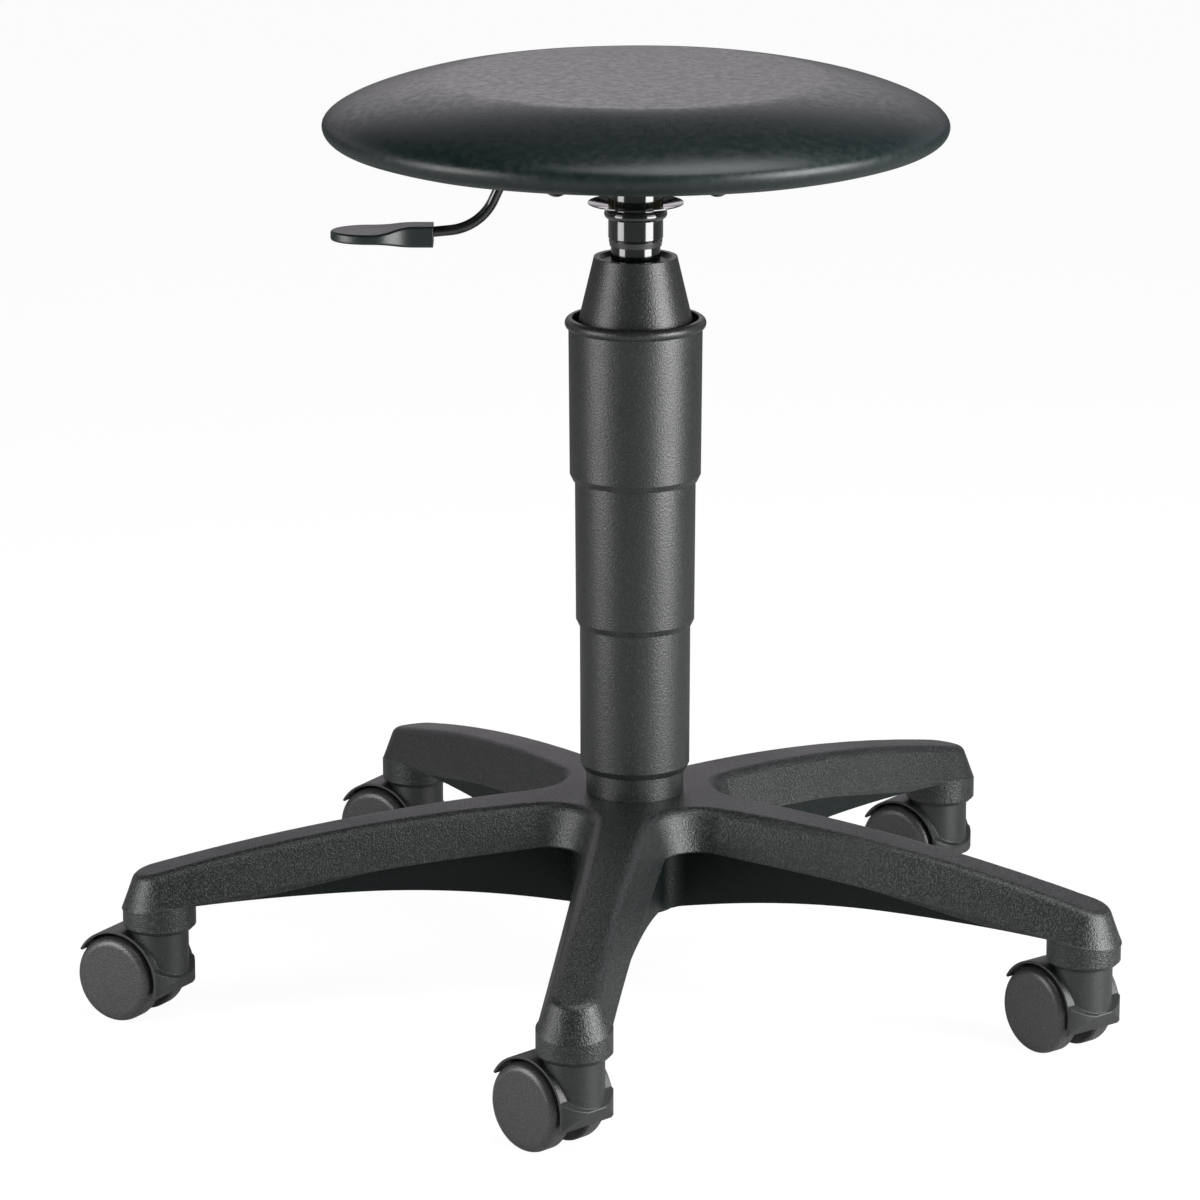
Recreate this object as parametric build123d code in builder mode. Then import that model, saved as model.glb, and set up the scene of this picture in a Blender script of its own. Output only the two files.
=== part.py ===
from build123d import *
from math import cos, radians, sin, tan
import os

# Swivel stool: a round foam seat on a gas lift, with telescopic covers and a five-arm base on casters.
# Millimetres. X to the right, Y to the back, Z up. Origin on the floor, under the column axis.

# Fits
RUN = 0.05  # radial clearance of a shaft in its bore
FREE = 0.3  # space between pieces that slide or turn past each other

# Star base, measured from the column axis and from the floor
ARM_COUNT = 5
ARM_OVERRUN = 10.0
FIRST_ARM_ANGLE = -97.0
PIVOT_RADIUS = 277.0
HUB_TOP = 120.9
HUB_RADIUS = 38.0
HUB_BOTTOM = 59.0
HUB_FLAT_RADIUS = 36.0
ARM_MID_RADIUS = 150.0
ARM_MID_TOP = 112.6
ARM_TIP_TOP = 82.6
SKIRT_HUB_HEIGHT = 100.5
SKIRT_MID_HEIGHT = 88.0
SKIRT_TIP_HEIGHT = 65.0
SKIRT_OVERLAP = 4.0
SIDE_TAPER = 20.0
STAR_PLANE = 71.0
STAR_HUB_HALF = 36.8
STAR_TIP_HALF = 19.9
STAR_CROTCH_RADIUS = 13.0
CROTCH_REACH = 1.3
WALL_HUB_HALF = 21.0
WALL_TIP_HALF = 16.2
WALL_CROTCH_RADIUS = 10.0
WEB_HUB_RADIUS = 42.0
WEB_HUB_HEIGHT = 60.8
WEB_APEX_RADIUS = 165.0
WEB_APEX_HEIGHT = 74.4
WEB_TIP_HEIGHT = 66.0
ARM_EDGE_ROUND = 6.0
ARM_SKIN = 4.5
ARM_WALL = 3.5
RIB_THICKNESS = 2.6
RIB_HEIGHT = 76.0
RIB_FIRST = 36.0
RIB_PITCH = 45.0
COLLAR_RADIUS = 20.9
COLLAR_CHAMFER = 2.5
COLLAR_LAP = 0.5

# Casters, measured from the stem's axis; the hood's round back is centred ahead of the axle and above it
WHEEL_RADIUS = 25.0
WHEEL_INNER_FACE = 8.0
WHEEL_OUTER_FACE = 21.0
WHEEL_EDGE_ROUND = 5.0
WHEEL_INNER_CHAMFER = 1.0
WHEEL_BORE_END = 2.5
CASTER_TRAIL = 19.5
HOOD_LEAD = 1.5
HOOD_LIFT = 1.0
HOOD_ROOM = 0.6
FENDER_RADIUS = 28.0
FENDER_WALL = 1.4
FENDER_HALF_WIDTH = 19.5
FENDER_FRONT_ANGLE = -19.0
FENDER_BACK_ANGLE = 150.0
NOSE_REACH = 18.0
NOSE_HEIGHT = 28.0
NOSE_ROOT_ANGLE = 18.0
NOSE_PLAN_RADIUS = 28.0
NOSE_ROUND = 1.5
CASTER_WEB_FRONT_ANGLE = 40.0
CASTER_WEB_BOSS = 9.0
CASTER_WEB_HALF = 6.0
NECK_RADIUS = 16.5
NECK_LOWER_END = 27.5
STEM_RADIUS = 5.5
STEM_LENGTH = 22.0
STEM_SEAT_DEPTH = 18.0
STEM_END_ROOM = 1.0
STEM_WALL = 2.0
AXLE_RADIUS = 3.0
AXLE_END_GAP = 0.5
GRIP_GROOVE_DEPTH = 0.9
GRIP_GROOVE_RISE = 13.0
GRIP_RING_WIDTH = 2.0
GRIP_RING_GAP = 3.0
CASTER_TURNS = {"front": -44.8, "right": -51.0, "rear_right": -36.0, "rear_left": -30.0, "left": -30.5}

# Gas lift
COLUMN_RADIUS = 25.0
COLUMN_WALL = 2.0
COLUMN_BOTTOM = 52.0
COLUMN_TOP = 280.0
COLUMN_TAPER = 1.44
CYLINDER_RADIUS = 14.0
CYLINDER_WALL = 2.0
CYLINDER_LENGTH = 267.4
CYLINDER_HEAD = 31.2
CYLINDER_TIP_RADIUS = 13.2
END_GUIDE_HEIGHT = 10.0
VALVE_HEIGHT = 24.0
BUSH_BOTTOM = 190.0
BUSH_FLANGE = 2.5
ROD_RADIUS = 5.0
ROD_BOTTOM = 46.0
PISTON_HEIGHT = 12.0
PISTON_CLEARANCE = 1.5
PISTON_RING_HEIGHT = 3.0
PISTON_RING_DEPTH = 1.5
END_PLATE_HEIGHT = 3.0
RACE_RADIUS = 13.0
RACE_HEIGHT = 2.0
BALL_RADIUS = 2.0
BALL_CIRCLE = 9.5
BALL_COUNT = 10
BUFFER_RADIUS = 12.0
BUFFER_HEIGHT = 7.0
BUFFER_ROUND = 2.3
ROD_CLIP_RADIUS = 8.5
ROD_CLIP_HEIGHT = 1.5
ROD_CLIP_GROOVE = 1.2
ROD_CLIP_MOUTH = 7.0

# Telescopic covers, which share the height between the hub and the cone
SLEEVE_COUNT = 3
FOOT_RING_RADIUS = 28.0
FOOT_RING_HEIGHT = 13.9
SPIGOT_WALL = 1.1
SPIGOT_HEIGHT = 15.0
LOWER_SLEEVE_FOOT_RADIUS = 31.45
LOWER_SLEEVE_HEAD_RADIUS = 31.75
LOWER_SLEEVE_WALL = 1.9
LOWER_SLEEVE_OVERLAP = 16.2
MID_SLEEVE_FOOT_RADIUS = 33.95
MID_SLEEVE_HEAD_RADIUS = 34.55
MID_SLEEVE_OVERLAP = 14.7
TOP_SLEEVE_FOOT_RADIUS = 37.4
TOP_SLEEVE_HEAD_RADIUS = 38.05
TOP_SLEEVE_EXTRA = 8.7
TOP_SLEEVE_BRIM = 1.4
TOP_BEAD_HEIGHT = 6.2
TOP_BEAD_RADIUS = 40.0
SLEEVE_EDGE_HEIGHT = 3.6
SLEEVE_EDGE_INSET = 1.7
SLEEVE_LIP = 3.0
CONE_FOOT = 7.0
CONE_FLANGE_HEIGHT = 2.5
CONE_FLANGE_BITE = 0.5
CONE_LEDGE_GAP = 1.0
CONE_BASE_RADIUS = 32.3
CONE_HEIGHT = 36.5
CONE_GAP = 6.3
CONE_TOP_RADIUS = 23.65
CONE_WALL = 2.2
CONE_DISH = 2.0
CONE_RIM = 3.0

# Seat, with heights from its underside, and its steel
SEAT_RADIUS = 176.1
SEAT_THICKNESS = 43.1
SEAT_RIM_HEIGHT = 16.4
SEAT_RIM_RISE = 11.0
SEAT_RIM_DROP = 10.9
SEAT_FLAT_RADIUS = 85.4
SEAT_CROWN_PULL = 30.0
SEAT_UNDER_INSET = 51.5
SEAT_UNDER_PULL = 49.3
BOARD_MARGIN = 12.6
BOARD_THICKNESS = 10.0
PLATE_WIDTH = 110.0
PLATE_END = 14.0
PLATE_CORNER = 12.0
PLATE_THICKNESS = 3.0
PLATE_EDGE_DEPTH = 7.0
PLATE_EDGE_ROUND = 1.8
SCREW_SPACING_X = 88.0
SCREW_INSET = 24.0
SCREW_RADIUS = 4.0
SCREW_HEAD_RADIUS = 7.0
SCREW_HEAD_HEIGHT = 8.0
SCREW_LENGTH = 11.0
SCREW_HOLE_ROOM = 0.25
TEE_NUT_WALL = 1.4
TEE_NUT_FLANGE_RADIUS = 9.5
TEE_NUT_FLANGE = 1.5
SOCKET_RADIUS = 15.5
SOCKET_LENGTH = 55.1
SOCKET_GROOVE_HEIGHT = 4.0
SOCKET_GROOVE_HALF = 0.8
SOCKET_GROOVE_DEPTH = 0.6
SOCKET_LIP_INSET = 0.3
SOCKET_COLLAR_RADIUS = 17.85
SOCKET_COLLAR_RISE = 15.5
SOCKET_COLLAR_HEIGHT = 5.7
SOCKET_DISH_RADIUS = 27.0
SOCKET_DISH_RISE = 2.6
SOCKET_DISH_THICKNESS = 1.3

# Height lever: the height of its pin carries the seat, the socket and the lift's head
LEVER_PIVOT_X = -23.0
LEVER_HEIGHT = 480.0
LEVER_BELOW_SEAT = 15.9
LEVER_ROD_RADIUS = 3.0
LEVER_KNEE_X = -73.9
LEVER_DROP_X = -87.3
LEVER_DROP = 29.0
LEVER_TAIL_X = -140.0
LEVER_TAIL_DROP = 34.0
LEVER_KNEE_BEND = 9.0
LEVER_DROP_BEND = 30.0
LEVER_EYE_RADIUS = 5.0
LEVER_EYE_HALF = 4.2
LEVER_PIN_RADIUS = 2.5
LEVER_CHEEK = 2.5
LEVER_CHEEK_LENGTH = 13.0
LEVER_CHEEK_DROP = 6.0
LEVER_BLADE_HALF = 2.5
LEVER_BLADE_END = 5.0
GRIP_ROOT_X = -114.0
GRIP_END_X = -172.0
GRIP_ROOT_WIDTH = 17.0
GRIP_PADDLE_WIDTH = 34.0
GRIP_DROP = 33.3
GRIP_ROOT_THICKNESS = 12.0
GRIP_PADDLE_THICKNESS = 5.6
GRIP_ROOT_LENGTH = 9.0
GRIP_PADDLE_LENGTH = 22.0
GRIP_EDGE_ROUND = 1.4
RELEASE_PIN_RADIUS = 4.0
RELEASE_PIN_DOME = 1.0
RELEASE_PIN_SEAT = 6.0
RELEASE_TRAVEL = 3.3
RELEASE_ROOM = 1.2

# Heights that follow from these sizes, from the casters up to the seat
COLLAR_BOTTOM = WHEEL_RADIUS + HOOD_LIFT + FENDER_RADIUS + HOOD_ROOM
FOOT_RING_TOP = HUB_TOP + FOOT_RING_HEIGHT
SEAT_BOTTOM = LEVER_HEIGHT + LEVER_BELOW_SEAT
SEAT_TOP = SEAT_BOTTOM + SEAT_THICKNESS
SEAT_RIM = SEAT_BOTTOM + SEAT_RIM_HEIGHT
SOCKET_BOTTOM = SEAT_BOTTOM - SOCKET_LENGTH
CYLINDER_TOP = SOCKET_BOTTOM + CYLINDER_HEAD
CYLINDER_BOTTOM = CYLINDER_TOP - CYLINDER_LENGTH
CONE_TOP = SOCKET_BOTTOM - CONE_GAP
CONE_BASE = CONE_TOP - CONE_HEIGHT
CONE_FLANGE_BOTTOM = CONE_BASE - CONE_FOOT
TOP_SLEEVE_TOP = CONE_BASE + TOP_SLEEVE_BRIM
TOP_SLEEVE_NECK = TOP_SLEEVE_TOP - TOP_BEAD_HEIGHT
SLEEVE_PITCH = (TOP_SLEEVE_TOP - FOOT_RING_TOP - TOP_SLEEVE_EXTRA) / SLEEVE_COUNT
MID_SLEEVE_BOTTOM = FOOT_RING_TOP + SLEEVE_PITCH
TOP_SLEEVE_BOTTOM = MID_SLEEVE_BOTTOM + SLEEVE_PITCH
LOWER_SLEEVE_TOP = MID_SLEEVE_BOTTOM + LOWER_SLEEVE_OVERLAP
MID_SLEEVE_TOP = TOP_SLEEVE_BOTTOM + MID_SLEEVE_OVERLAP

# Widths that follow from the seat's size
SEAT_UNDER_RADIUS = SEAT_RADIUS - SEAT_UNDER_INSET
BOARD_RADIUS = SEAT_UNDER_RADIUS - BOARD_MARGIN
SCREW_SPACING_Y = 2 * (BOARD_RADIUS - SCREW_INSET)
PLATE_LENGTH = SCREW_SPACING_Y + 2 * PLATE_END

os.makedirs("parts", exist_ok=True)


def save(piece, name):
    """Names a finished piece and writes it to its own file."""
    piece.label = name
    export_step(piece, f"parts/{name}.step")


def ring(inner, outer, bottom, top):
    """A plain ring round the column axis, as the half section of a revolve."""
    Polygon((inner, bottom), (outer, bottom), (outer, top), (inner, top), align=None)


# The star: each arm is the hull of a hub circle and a tip circle, with rounded crotches between arms.
ARM_ANGLES = [FIRST_ARM_ANGLE + 360 / ARM_COUNT * k for k in range(ARM_COUNT)]
ARM_REACH = PIVOT_RADIUS + COLLAR_RADIUS + ARM_OVERRUN
SECTION = Plane.XZ.rotated((0, 0, FIRST_ARM_ANGLE + 180 / ARM_COUNT))
MOULD_FLOOR = COLLAR_BOTTOM - ARM_OVERRUN


def arm_outline(hub_half, tip_half):
    """Five arms seen from above."""
    for angle in ARM_ANGLES:
        with BuildSketch(mode=Mode.PRIVATE) as one_arm:
            Circle(hub_half)
            with Locations((PIVOT_RADIUS * cos(radians(angle)), PIVOT_RADIUS * sin(radians(angle)))):
                Circle(tip_half)
            make_hull()
        add(one_arm.sketch)


def crotches(sketch, hub_half):
    """The inward corners where two neighbouring arms meet."""
    reach = hub_half / sin(radians(180 / ARM_COUNT)) * CROTCH_REACH
    return sketch.vertices().filter_by(lambda v: Vector(v.X, v.Y).length < reach)


def skirt_line(lift):
    """The lower edge of the arm's skirt, from the axis to past the tip."""
    ThreePointArc(
        (0, SKIRT_HUB_HEIGHT + lift),
        (ARM_MID_RADIUS, SKIRT_MID_HEIGHT + lift),
        (ARM_REACH, SKIRT_TIP_HEIGHT + lift),
    )


def top_line(drop):
    """The arm's top line: flat over the hub, then falling in an arc to the tip."""
    Line((0, HUB_TOP - drop), (HUB_FLAT_RADIUS, HUB_TOP - drop))
    ThreePointArc(
        (HUB_FLAT_RADIUS, HUB_TOP - drop),
        (ARM_MID_RADIUS, ARM_MID_TOP - drop),
        (ARM_REACH, ARM_TIP_TOP - drop),
    )


def web_line():
    """The bottom of the arm's walls: an arch that drops to the hub and, less, to the tip."""
    Line((0, WEB_HUB_HEIGHT), (WEB_HUB_RADIUS, WEB_HUB_HEIGHT))
    apex = (WEB_APEX_RADIUS, WEB_APEX_HEIGHT)
    TangentArc(apex, (WEB_HUB_RADIUS, WEB_HUB_HEIGHT), tangent=(-1, 0))
    TangentArc(apex, (ARM_REACH, WEB_TIP_HEIGHT), tangent=(1, 0))


# Arm tops: the tapered star cut to the space between the skirt line and the top line.
with BuildPart() as arm_tops:
    spread = (STAR_PLANE - SKIRT_TIP_HEIGHT) * tan(radians(SIDE_TAPER))
    with BuildSketch(Plane.XY.offset(SKIRT_TIP_HEIGHT)) as star_plan:
        arm_outline(STAR_HUB_HALF + spread, STAR_TIP_HALF + spread)
        fillet(crotches(star_plan, STAR_HUB_HALF + spread), STAR_CROTCH_RADIUS - spread)
    extrude(amount=HUB_TOP - SKIRT_TIP_HEIGHT, taper=SIDE_TAPER)
    with BuildSketch(SECTION):
        with BuildLine():
            skirt_line(0)
            top_line(0)
            Line((0, SKIRT_HUB_HEIGHT), (0, HUB_TOP))
            Line((ARM_REACH, SKIRT_TIP_HEIGHT), (ARM_REACH, ARM_TIP_TOP))
        make_face()
    revolve(axis=Axis.Z, mode=Mode.INTERSECT)
    upper_faces = faces().filter_by(lambda f: f.normal_at().Z > 0.8)
    side_faces = faces().filter_by(lambda f: abs(f.normal_at().Z) < 0.8)
    fillet(upper_faces.edges() & side_faces.edges(), ARM_EDGE_ROUND)

# Arm walls: a narrower star below the skirt, cut off along the web line.
with BuildPart() as arm_walls:
    with BuildSketch(Plane.XY.offset(MOULD_FLOOR)) as wall_plan:
        arm_outline(WALL_HUB_HALF, WALL_TIP_HALF)
        fillet(crotches(wall_plan, WALL_HUB_HALF), WALL_CROTCH_RADIUS)
    extrude(amount=HUB_TOP - MOULD_FLOOR)
    with BuildSketch(SECTION):
        with BuildLine():
            web_line()
            skirt_line(SKIRT_OVERLAP)
            Line((0, WEB_HUB_HEIGHT), (0, SKIRT_HUB_HEIGHT + SKIRT_OVERLAP))
            Line((ARM_REACH, WEB_TIP_HEIGHT), (ARM_REACH, SKIRT_TIP_HEIGHT + SKIRT_OVERLAP))
        make_face()
    revolve(axis=Axis.Z, mode=Mode.INTERSECT)

# Arm pockets: what the mould core leaves open from below, less the stiffening ribs.
with BuildPart() as arm_pockets:
    with BuildSketch(Plane.XY.offset(MOULD_FLOOR)):
        arm_outline(WALL_HUB_HALF - ARM_WALL, WALL_TIP_HALF - ARM_WALL)
        Circle(HUB_RADIUS, mode=Mode.SUBTRACT)
        with PolarLocations(PIVOT_RADIUS, ARM_COUNT, FIRST_ARM_ANGLE):
            Circle(COLLAR_RADIUS, mode=Mode.SUBTRACT)
    extrude(amount=HUB_TOP - MOULD_FLOOR)
    core_spread = (STAR_PLANE - MOULD_FLOOR) * tan(radians(SIDE_TAPER)) - ARM_WALL
    with BuildSketch(Plane.XY.offset(MOULD_FLOOR)):
        arm_outline(STAR_HUB_HALF + core_spread, STAR_TIP_HALF + core_spread)
    extrude(amount=HUB_TOP - MOULD_FLOOR, taper=SIDE_TAPER, mode=Mode.INTERSECT)
    with BuildSketch(SECTION):
        with BuildLine():
            top_line(ARM_SKIN)
            Line((0, MOULD_FLOOR), (0, HUB_TOP - ARM_SKIN))
            Line((0, MOULD_FLOOR), (ARM_REACH, MOULD_FLOOR))
            Line((ARM_REACH, MOULD_FLOOR), (ARM_REACH, ARM_TIP_TOP - ARM_SKIN))
        make_face()
    revolve(axis=Axis.Z, mode=Mode.INTERSECT)
    rib_span = PIVOT_RADIUS - HUB_RADIUS
    rib_count = int((rib_span - RIB_FIRST) // RIB_PITCH) + 1
    with BuildSketch(Plane.XY.offset(RIB_HEIGHT)):
        with PolarLocations(HUB_RADIUS + rib_span / 2, ARM_COUNT, FIRST_ARM_ANGLE):
            Rectangle(rib_span, RIB_THICKNESS)
        for k in range(rib_count):
            with PolarLocations(HUB_RADIUS + RIB_FIRST + RIB_PITCH * k, ARM_COUNT, FIRST_ARM_ANGLE):
                Rectangle(RIB_THICKNESS, 2 * WALL_HUB_HALF)
    extrude(amount=HUB_TOP - RIB_HEIGHT, mode=Mode.SUBTRACT)

# Caster collars: round bosses under the arm tips, let into the lower edge of the skirt.
with BuildPart() as collars:
    with BuildSketch(Plane.XY.offset(COLLAR_BOTTOM)):
        with PolarLocations(PIVOT_RADIUS, ARM_COUNT, FIRST_ARM_ANGLE):
            Circle(COLLAR_RADIUS)
    extrude(amount=SKIRT_HUB_HEIGHT - COLLAR_BOTTOM)
    chamfer(faces().filter_by(Plane.XY).group_by(Axis.Z)[0].edges(), COLLAR_CHAMFER)
    with BuildSketch(SECTION):
        with BuildLine():
            skirt_line(COLLAR_LAP)
            Line((0, MOULD_FLOOR), (0, SKIRT_HUB_HEIGHT + COLLAR_LAP))
            Line((0, MOULD_FLOOR), (ARM_REACH, MOULD_FLOOR))
            Line((ARM_REACH, MOULD_FLOOR), (ARM_REACH, SKIRT_TIP_HEIGHT + COLLAR_LAP))
        make_face()
    revolve(axis=Axis.Z, mode=Mode.INTERSECT)

# Star base: arms, hub with its tapered bore, and the caster collars with their sockets.
COLUMN_SLOPE = tan(radians(COLUMN_TAPER))
STEM_TOP = COLLAR_BOTTOM + STEM_LENGTH
with BuildPart() as star_base:
    add(arm_tops.part)
    add(arm_walls.part)
    with BuildSketch(Plane.XY.offset(HUB_BOTTOM)):
        Circle(HUB_RADIUS)
    extrude(amount=SKIRT_HUB_HEIGHT - HUB_BOTTOM)
    add(collars.part)
    add(arm_pockets.part, mode=Mode.SUBTRACT)
    with BuildSketch(Plane.XY.offset(COLLAR_BOTTOM)):
        with PolarLocations(PIVOT_RADIUS, ARM_COUNT, FIRST_ARM_ANGLE):
            Circle(STEM_RADIUS + RUN)
    extrude(amount=STEM_LENGTH + STEM_END_ROOM, mode=Mode.SUBTRACT)
    with BuildSketch(Plane.XZ):
        with BuildLine():
            Polyline(
                (0, HUB_BOTTOM),
                (COLUMN_RADIUS + RUN - (HUB_TOP - HUB_BOTTOM) * COLUMN_SLOPE, HUB_BOTTOM),
                (COLUMN_RADIUS + RUN, HUB_TOP),
                (0, HUB_TOP),
                close=True,
            )
        make_face()
    revolve(axis=Axis.Z, mode=Mode.SUBTRACT)
save(star_base.part, "star_base")

# Spring rings in the caster sockets, each open on one side.
GROOVE_BOTTOM = COLLAR_BOTTOM + GRIP_GROOVE_RISE
with BuildPart() as caster_grip_rings:
    with BuildSketch(Plane.XY.offset(GROOVE_BOTTOM)):
        with PolarLocations(PIVOT_RADIUS, ARM_COUNT, FIRST_ARM_ANGLE):
            Circle(STEM_RADIUS + RUN)
            Circle(STEM_RADIUS - GRIP_GROOVE_DEPTH + RUN, mode=Mode.SUBTRACT)
            with Locations((STEM_RADIUS, 0)):
                Rectangle(STEM_RADIUS, GRIP_RING_GAP, mode=Mode.SUBTRACT)
    extrude(amount=GRIP_RING_WIDTH)
save(caster_grip_rings.part, "caster_grip_rings")

# Column tube: straight above the hub, tapered where it wedges into it.
COLUMN_FOOT_RADIUS = COLUMN_RADIUS - (HUB_TOP - COLUMN_BOTTOM) * COLUMN_SLOPE
with BuildPart() as column_tube:
    with BuildSketch(Plane.XZ):
        with BuildLine():
            Polyline(
                (COLUMN_FOOT_RADIUS - COLUMN_WALL, COLUMN_BOTTOM),
                (COLUMN_FOOT_RADIUS, COLUMN_BOTTOM),
                (COLUMN_RADIUS, HUB_TOP),
                (COLUMN_RADIUS, COLUMN_TOP),
                (COLUMN_RADIUS - COLUMN_WALL, COLUMN_TOP),
                (COLUMN_RADIUS - COLUMN_WALL, HUB_TOP),
                close=True,
            )
        make_face()
    revolve(axis=Axis.Z)
save(column_tube.part, "column_tube")

# Guide bush: the plastic sleeve that the gas cylinder slides in, with a collar on the tube's end.
with BuildPart() as guide_bush:
    with BuildSketch(Plane.XZ):
        ring(CYLINDER_RADIUS + RUN, COLUMN_RADIUS - COLUMN_WALL - RUN, BUSH_BOTTOM, COLUMN_TOP)
        ring(CYLINDER_RADIUS + RUN, COLUMN_RADIUS, COLUMN_TOP, COLUMN_TOP + BUSH_FLANGE)
    revolve(axis=Axis.Z)
save(guide_bush.part, "guide_bush")

# Column end plate and the lower bearing race on it.
END_PLATE_TOP = COLUMN_BOTTOM + END_PLATE_HEIGHT
with BuildPart() as column_end_plate:
    with BuildSketch(Plane.XZ):
        ring(ROD_RADIUS + RUN, COLUMN_FOOT_RADIUS - COLUMN_WALL - RUN, COLUMN_BOTTOM, END_PLATE_TOP)
    revolve(axis=Axis.Z)
save(column_end_plate.part, "column_end_plate")

LOWER_RACE_TOP = END_PLATE_TOP + RACE_HEIGHT
with BuildPart() as thrust_lower_race:
    with BuildSketch(Plane.XZ):
        ring(ROD_RADIUS + RUN, RACE_RADIUS, END_PLATE_TOP, LOWER_RACE_TOP)
    revolve(axis=Axis.Z)
save(thrust_lower_race.part, "thrust_lower_race")

# Ball ring and upper race: the rod stands on them and turns.
BALL_HEIGHT = LOWER_RACE_TOP + RUN + BALL_RADIUS
UPPER_RACE_BOTTOM = BALL_HEIGHT + BALL_RADIUS
UPPER_RACE_TOP = UPPER_RACE_BOTTOM + RACE_HEIGHT
with BuildPart() as thrust_balls:
    with Locations(Plane.XY.offset(BALL_HEIGHT)):
        with PolarLocations(BALL_CIRCLE, BALL_COUNT):
            Sphere(BALL_RADIUS)
save(thrust_balls.part, "thrust_balls")

with BuildPart() as thrust_upper_race:
    with BuildSketch(Plane.XZ):
        ring(ROD_RADIUS, RACE_RADIUS, UPPER_RACE_BOTTOM, UPPER_RACE_TOP)
    revolve(axis=Axis.Z)
save(thrust_upper_race.part, "thrust_upper_race")

# Rubber buffer that the cylinder lands on at the bottom of the stroke.
with BuildPart() as rod_buffer:
    with BuildSketch(Plane.XZ):
        ring(ROD_RADIUS, BUFFER_RADIUS, UPPER_RACE_TOP, UPPER_RACE_TOP + BUFFER_HEIGHT)
    revolve(axis=Axis.Z)
    top_edges = edges().filter_by(GeomType.CIRCLE).group_by(Axis.Z)[-1]
    fillet(top_edges.sort_by(SortBy.RADIUS)[-1], BUFFER_ROUND)
save(rod_buffer.part, "rod_buffer")

# Piston rod, with a groove for the clip below the end plate.
PISTON_BOTTOM = CYLINDER_BOTTOM + END_GUIDE_HEIGHT + PISTON_CLEARANCE
PISTON_TOP = PISTON_BOTTOM + PISTON_HEIGHT
CLIP_TOP = COLUMN_BOTTOM - FREE
CLIP_BOTTOM = CLIP_TOP - ROD_CLIP_HEIGHT
with BuildPart() as piston_rod:
    with BuildSketch(Plane.XZ):
        ring(0, ROD_RADIUS, ROD_BOTTOM, PISTON_TOP)
        with BuildLine():
            groove = ROD_RADIUS - ROD_CLIP_GROOVE
            Polyline(
                (groove, CLIP_BOTTOM),
                (ROD_RADIUS, CLIP_BOTTOM),
                (ROD_RADIUS, CLIP_TOP),
                (groove, CLIP_TOP),
                close=True,
            )
        make_face(mode=Mode.SUBTRACT)
    revolve(axis=Axis.Z)
save(piston_rod.part, "piston_rod")

# Spring clip: a flat ring with a mouth, pushed into the rod's groove.
with BuildPart() as rod_clip:
    with BuildSketch(Plane.XY.offset(CLIP_BOTTOM)):
        Circle(ROD_CLIP_RADIUS)
        Circle(ROD_RADIUS - ROD_CLIP_GROOVE, mode=Mode.SUBTRACT)
        with Locations((ROD_CLIP_RADIUS / 2, 0)):
            Rectangle(ROD_CLIP_RADIUS, ROD_CLIP_MOUTH, mode=Mode.SUBTRACT)
    extrude(amount=ROD_CLIP_HEIGHT)
save(rod_clip.part, "rod_clip")

# Piston and its ring, inside the cylinder.
CYLINDER_BORE = CYLINDER_RADIUS - CYLINDER_WALL
PISTON_RING_BOTTOM = PISTON_BOTTOM + (PISTON_HEIGHT - PISTON_RING_HEIGHT) / 2
PISTON_RING_TOP = PISTON_RING_BOTTOM + PISTON_RING_HEIGHT
PISTON_RADIUS = CYLINDER_BORE - FREE
with BuildPart() as piston:
    with BuildSketch(Plane.XZ):
        ring(ROD_RADIUS, PISTON_RADIUS, PISTON_BOTTOM, PISTON_RING_BOTTOM)
        ring(ROD_RADIUS, PISTON_RADIUS - PISTON_RING_DEPTH, PISTON_RING_BOTTOM, PISTON_RING_TOP)
        ring(ROD_RADIUS, PISTON_RADIUS, PISTON_RING_TOP, PISTON_TOP)
    revolve(axis=Axis.Z)
save(piston.part, "piston")

with BuildPart() as piston_ring:
    with BuildSketch(Plane.XZ):
        ring(PISTON_RADIUS - PISTON_RING_DEPTH, CYLINDER_BORE - RUN, PISTON_RING_BOTTOM, PISTON_RING_TOP)
    revolve(axis=Axis.Z)
save(piston_ring.part, "piston_ring")

# Gas cylinder: straight, with a tapered head that wedges into the seat's socket.
with BuildPart() as gas_cylinder:
    with BuildSketch(Plane.XZ):
        with BuildLine():
            Polyline(
                (CYLINDER_BORE, CYLINDER_BOTTOM),
                (CYLINDER_RADIUS, CYLINDER_BOTTOM),
                (CYLINDER_RADIUS, SOCKET_BOTTOM),
                (CYLINDER_TIP_RADIUS, CYLINDER_TOP),
                (CYLINDER_BORE, CYLINDER_TOP),
                close=True,
            )
        make_face()
    revolve(axis=Axis.Z)
save(gas_cylinder.part, "gas_cylinder")

# End guide: closes the cylinder's foot round the rod.
with BuildPart() as cylinder_end_guide:
    with BuildSketch(Plane.XZ):
        ring(ROD_RADIUS + RUN, CYLINDER_BORE, CYLINDER_BOTTOM, CYLINDER_BOTTOM + END_GUIDE_HEIGHT)
    revolve(axis=Axis.Z)
save(cylinder_end_guide.part, "cylinder_end_guide")

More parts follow.
